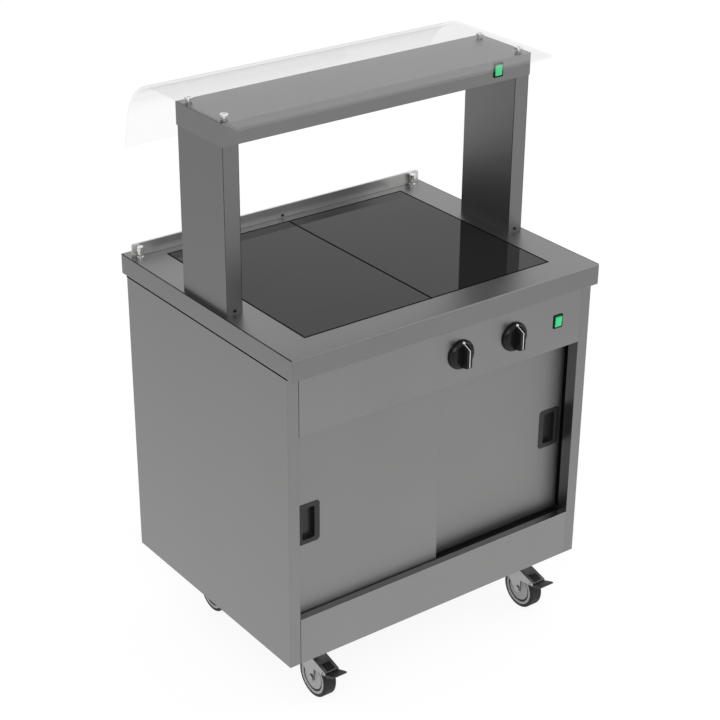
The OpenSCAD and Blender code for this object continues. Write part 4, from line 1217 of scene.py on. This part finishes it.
@dataclass(frozen=True)
class Castor:
    """One castor: fork, wheel body, tyre and, in front, the brake pedal.

    A row of the face is (radius, depth below the wheel's side) and a row of the rim is (depth below
    its edge, depth below the wheel's side), all in mm. The groove's shade is painted by a dark ring, a loop
    of (radius, height), which lies at its depth in the groove, in mm too.
    """

    place: str
    fork_edge: float = 0.5 * MM
    pedal_edge: float = 0.6 * MM
    face: tuple = (
        (6.1, 0.0), (12.6, 0.0), (13.0, 0.4), (13.4, 1.0), (30.2, 1.0),
        (31.0, 1.8), (31.0, 7.0), (35.5, 7.0), (35.5, 0.6), (36.1, 0.0),
    )  # fmt: skip
    rim: tuple = ((0.4, 0.0), (0.0, 0.4))
    # dark ring that paints the shade at the bottom of each groove
    groove_shade_ring: tuple = ((31.2, 0.0), (35.3, 0.0), (35.3, 4.2), (31.2, 4.2))
    groove_shade_depth: float = 2.4
    band: float = 8 * MM
    shoulder: float = 3.2 * MM
    shoulder_steps: int = 5

    def build(self) -> None:
        """Makes the wheel and dresses the fork and the pedal."""
        fork, pedal = f"{self.place}_fork", f"{self.place}_pedal"
        dress(softened_copy(fork, self.fork_edge), ZINC, f"{self.place}_castor", fork)
        self.wheel_body()
        self.tyre()
        if self.place.startswith("front"):
            dress(softened_copy(pedal, self.pedal_edge), PEDAL, f"{self.place}_brake", pedal)

    def turned(self, name: str, profile: np.ndarray, finish: Finish, out: float, *nodes: str) -> None:
        """Makes a piece of the wheel, turned about the axle.

        Args:
            name: Name of the piece, without the castor's place.
            profile: Its profile, as in turned_piece.
            finish: Its finish.
            out: Where height 0 of the profile lies along X, from the middle of the wheel.
            nodes: CAD nodes that it replaces.
        """
        low, high = box(f"{self.place}_tyre")
        middle = (low + high) / 2
        centre = (middle[1], middle[2], middle[0] + out)
        piece = turned_piece(f"{self.place}_{name}", profile, centre, Facing.SIDE)
        dress(piece, finish, f"{self.place}_wheel", *nodes)

    def wheel_body(self) -> None:
        """Wheel body: boss, flat web, deep groove and rim, the same on both faces, and a dark ring of painted
        shade in each groove.
        """
        node = f"{self.place}_hub"
        low, high = box(node)
        half, edge = (high[0] - low[0]) / 2, (high[2] - low[2]) / 2
        inner = np.array([0.0, half]) + np.array(self.face) * MM * [1, -1]
        outer = np.array([edge, half]) - np.array(self.rim) * MM
        face = np.concatenate([inner, outer])
        self.turned("wheel_body", np.concatenate([face, face[::-1] * [1, -1]]), NYLON, 0.0, node)
        ring = np.array(self.groove_shade_ring) * MM
        depth = self.groove_shade_depth * MM
        self.turned("groove_shade_left", ring, TYRE_AND_GROOVE_SHADE, depth - half)
        self.turned("groove_shade_right", ring, TYRE_AND_GROOVE_SHADE, half - depth - ring[2, 1])

    def tyre(self) -> None:
        """Tyre: a band with a quarter-round shoulder on either side of its tread."""
        node = f"{self.place}_tyre"
        low, high = box(node)
        half, radius = (high[0] - low[0]) / 2, (high[2] - low[2]) / 2
        turn = quarter_turn(self.shoulder_steps)
        bend = self.shoulder * (1 - np.stack([np.cos(turn), np.sin(turn)], axis=-1))
        corner = np.array([radius, half]) - bend
        side = np.concatenate([corner, [[radius - self.band, half]]])
        profile = np.concatenate([side[::-1] * [1, -1], [[radius, 0.0]], side])
        self.turned("tyre_band", profile, TYRE_AND_GROOVE_SHADE, 0.0, node)


@dataclass(frozen=True)
class Studio:
    """Floor, light and camera of the picture."""

    eye: Triple = (-2.23299, -2.97406, 2.5035)
    yaw_degrees: float = -35.85
    pitch_degrees: float = -27.6
    focal_pixels: float = 1822.0
    middle_pixel: tuple[float, float] = (329.4, 395.6)
    picture_pixels: float = 720.0
    sensor: float = 36.0
    floor_reach: float = 14.0
    floor_grey: float = 0.9
    floor_roughness: float = 0.9
    shadow_share: float = 0.16
    floor_glow: float = 1.07
    fade_reach: tuple[float, float] = (0.5, 3.2)
    far_level: float = 0.7
    light_level: float = 0.75
    dark_patches: tuple = (((-0.46, 0.72, 0.52), 0.75), ((-0.58, -0.81, 0.05), 0.6))
    patch_degrees: tuple[float, float] = (45.0, 15.0)
    lamps: tuple = (
        ("key light", (-2.6, -3.2, 3.4), 2.2, 42.0),
        ("fill light", (3.2, -2.2, 2.6), 2.4, 16.0),
    )
    lamp_aim: Triple = (0.0, 0.0, 0.6)

    def build(self) -> None:
        """Sets up the camera, the white surroundings, the floor and the lamps."""
        self.camera()
        self.world()
        self.floor()
        for row in self.lamps:
            self.lamp(*row)
        bpy.context.scene.view_settings.view_transform = "Standard"

    def camera(self) -> None:
        """Camera from the solved view: lens and shift come from pixels of the picture."""
        data = bpy.data.cameras.new("picture camera")
        data.sensor_width = self.sensor
        data.lens = self.focal_pixels / self.picture_pixels * self.sensor
        half = self.picture_pixels / 2
        data.shift_x = (half - self.middle_pixel[0]) / self.picture_pixels
        data.shift_y = (self.middle_pixel[1] - half) / self.picture_pixels
        camera = link_object("picture camera", data)
        camera.location = self.eye
        turn = (90 + self.pitch_degrees, 0.0, self.yaw_degrees)
        camera.rotation_euler = [math.radians(angle) for angle in turn]
        bpy.context.scene.camera = camera

    def world(self) -> None:
        """White surroundings: full white where seen, softer as light, with two dark patches for gloss."""
        world = bpy.data.worlds.new("white studio")
        world.use_nodes = True
        bpy.context.scene.world = world
        nodes = Nodes(world.node_tree)
        level = nodes.fit(nodes.seen(), FULL_RANGE, (self.light_level, 1.0))
        for toward, depth in self.dark_patches:
            level = self.darkened(nodes, level, toward, depth)
        back = world.node_tree.nodes["Background"]
        nodes.feed(back.inputs["Color"], WHITE)
        nodes.feed(back.inputs["Strength"], level)

    def darkened(self, nodes: Nodes, level: Socket, toward: Triple, depth: float) -> Socket:
        """Level of the surroundings with a soft dark patch in one direction, for glossy rays alone.

        Args:
            nodes: Nodes of the world.
            level: Level before.
            toward: Unit direction of the patch.
            depth: Share taken off in its middle.

        Returns:
            The level times 1 - depth * s, with s rising from 0 at the patch's edge to 1 near its middle.
        """
        ray = nodes.add("TexCoord", {}).outputs["Generated"]
        along = nodes.add("VectorMath", {0: ray, 1: toward}, operation="DOT_PRODUCT")
        edge, middle = (math.cos(math.radians(angle)) for angle in self.patch_degrees)
        patch = nodes.fit(along.outputs["Value"], (edge, middle), (0.0, depth))
        return nodes.calculate("MULTIPLY", level, nodes.calculate("SUBTRACT", 1.0, nodes.mirrored(patch)))

    def floor(self) -> None:
        """Wide pale floor: mostly plain white where seen, the rest keeps the shadow."""
        reach = self.floor_reach
        mesh = bpy.data.meshes.new("studio_floor")
        corners = [(-reach, -reach, 0.0), (reach, -reach, 0.0), (reach, reach, 0.0), (-reach, reach, 0.0)]
        mesh.from_pydata(corners, [], [(0, 1, 2, 3)])
        floor = link_object("studio_floor", mesh)
        shader = Shader("pale floor")
        shader.set("Base Color", (*(self.floor_grey,) * 3, 1.0))
        shader.set("Roughness", self.floor_roughness)
        shader.set("Specular IOR Level", 0.0)
        glow = shader.add("Emission", {"Strength": self.mirrored_fade(shader)})
        share = shader.calculate("MULTIPLY", shader.seen(), 1.0 - self.shadow_share)
        shader.mix_surfaces(share, shader.surface.outputs["BSDF"], glow.outputs["Emission"])
        mesh.materials.append(shader.material)

    def mirrored_fade(self, shader: Shader) -> Socket:
        """Glow of the floor: even where it is seen, fading with distance where metal mirrors it.

        Args:
            shader: Material of the floor.

        Returns:
            The glow times 1 - (1 - far) * s for glossy rays, s rising from 0 at the near reach to 1.
        """
        distance = shader.add("VectorMath", {0: shader.place((1.0, 1.0, 1.0))}, operation="LENGTH")
        fade = shader.fit(distance.outputs["Value"], self.fade_reach, (0.0, 1.0 - self.far_level))
        return shader.calculate("MULTIPLY_ADD", shader.mirrored(fade), -self.floor_glow, self.floor_glow)

    def lamp(self, name: str, place: Triple, size: float, watts: float) -> None:
        """Soft square lamp that points at the middle of the counter.

        Args:
            name: Name of the lamp.
            place: Its place in metres.
            size: Its side in metres.
            watts: Its power.
        """
        data = bpy.data.lights.new(name, "AREA")
        data.size = size
        data.energy = watts
        lamp = link_object(name, data)
        lamp.location = place
        aim = np.array(self.lamp_aim) - np.array(place)
        tilt = math.atan2(math.hypot(aim[0], aim[1]), -aim[2])
        lamp.rotation_euler = (tilt, 0.0, math.atan2(-aim[0], aim[1]))


def main() -> None:
    """Builds the studio and every sub-assembly."""
    logging.basicConfig(level=logging.INFO, format="%(message)s")
    parts = [Studio(), Worktop(), Cabinet()]
    parts += [SlidingDoor(f"{side}_door", f"{side}_door_cup") for side in ("left", "right")]
    parts += [Knob("left_knob"), Knob("right_knob"), Switches(), Gantry(), FoldShades(), ServingGlass()]
    parts += [Castor(f"{end}_{side}") for end in ("front", "rear") for side in ("left", "right")]
    for part in parts:
        log.info("building %s", type(part).__name__)
        part.build()
    paint(ZINC, "castor_plates")


if __name__ == "__main__":
    main()
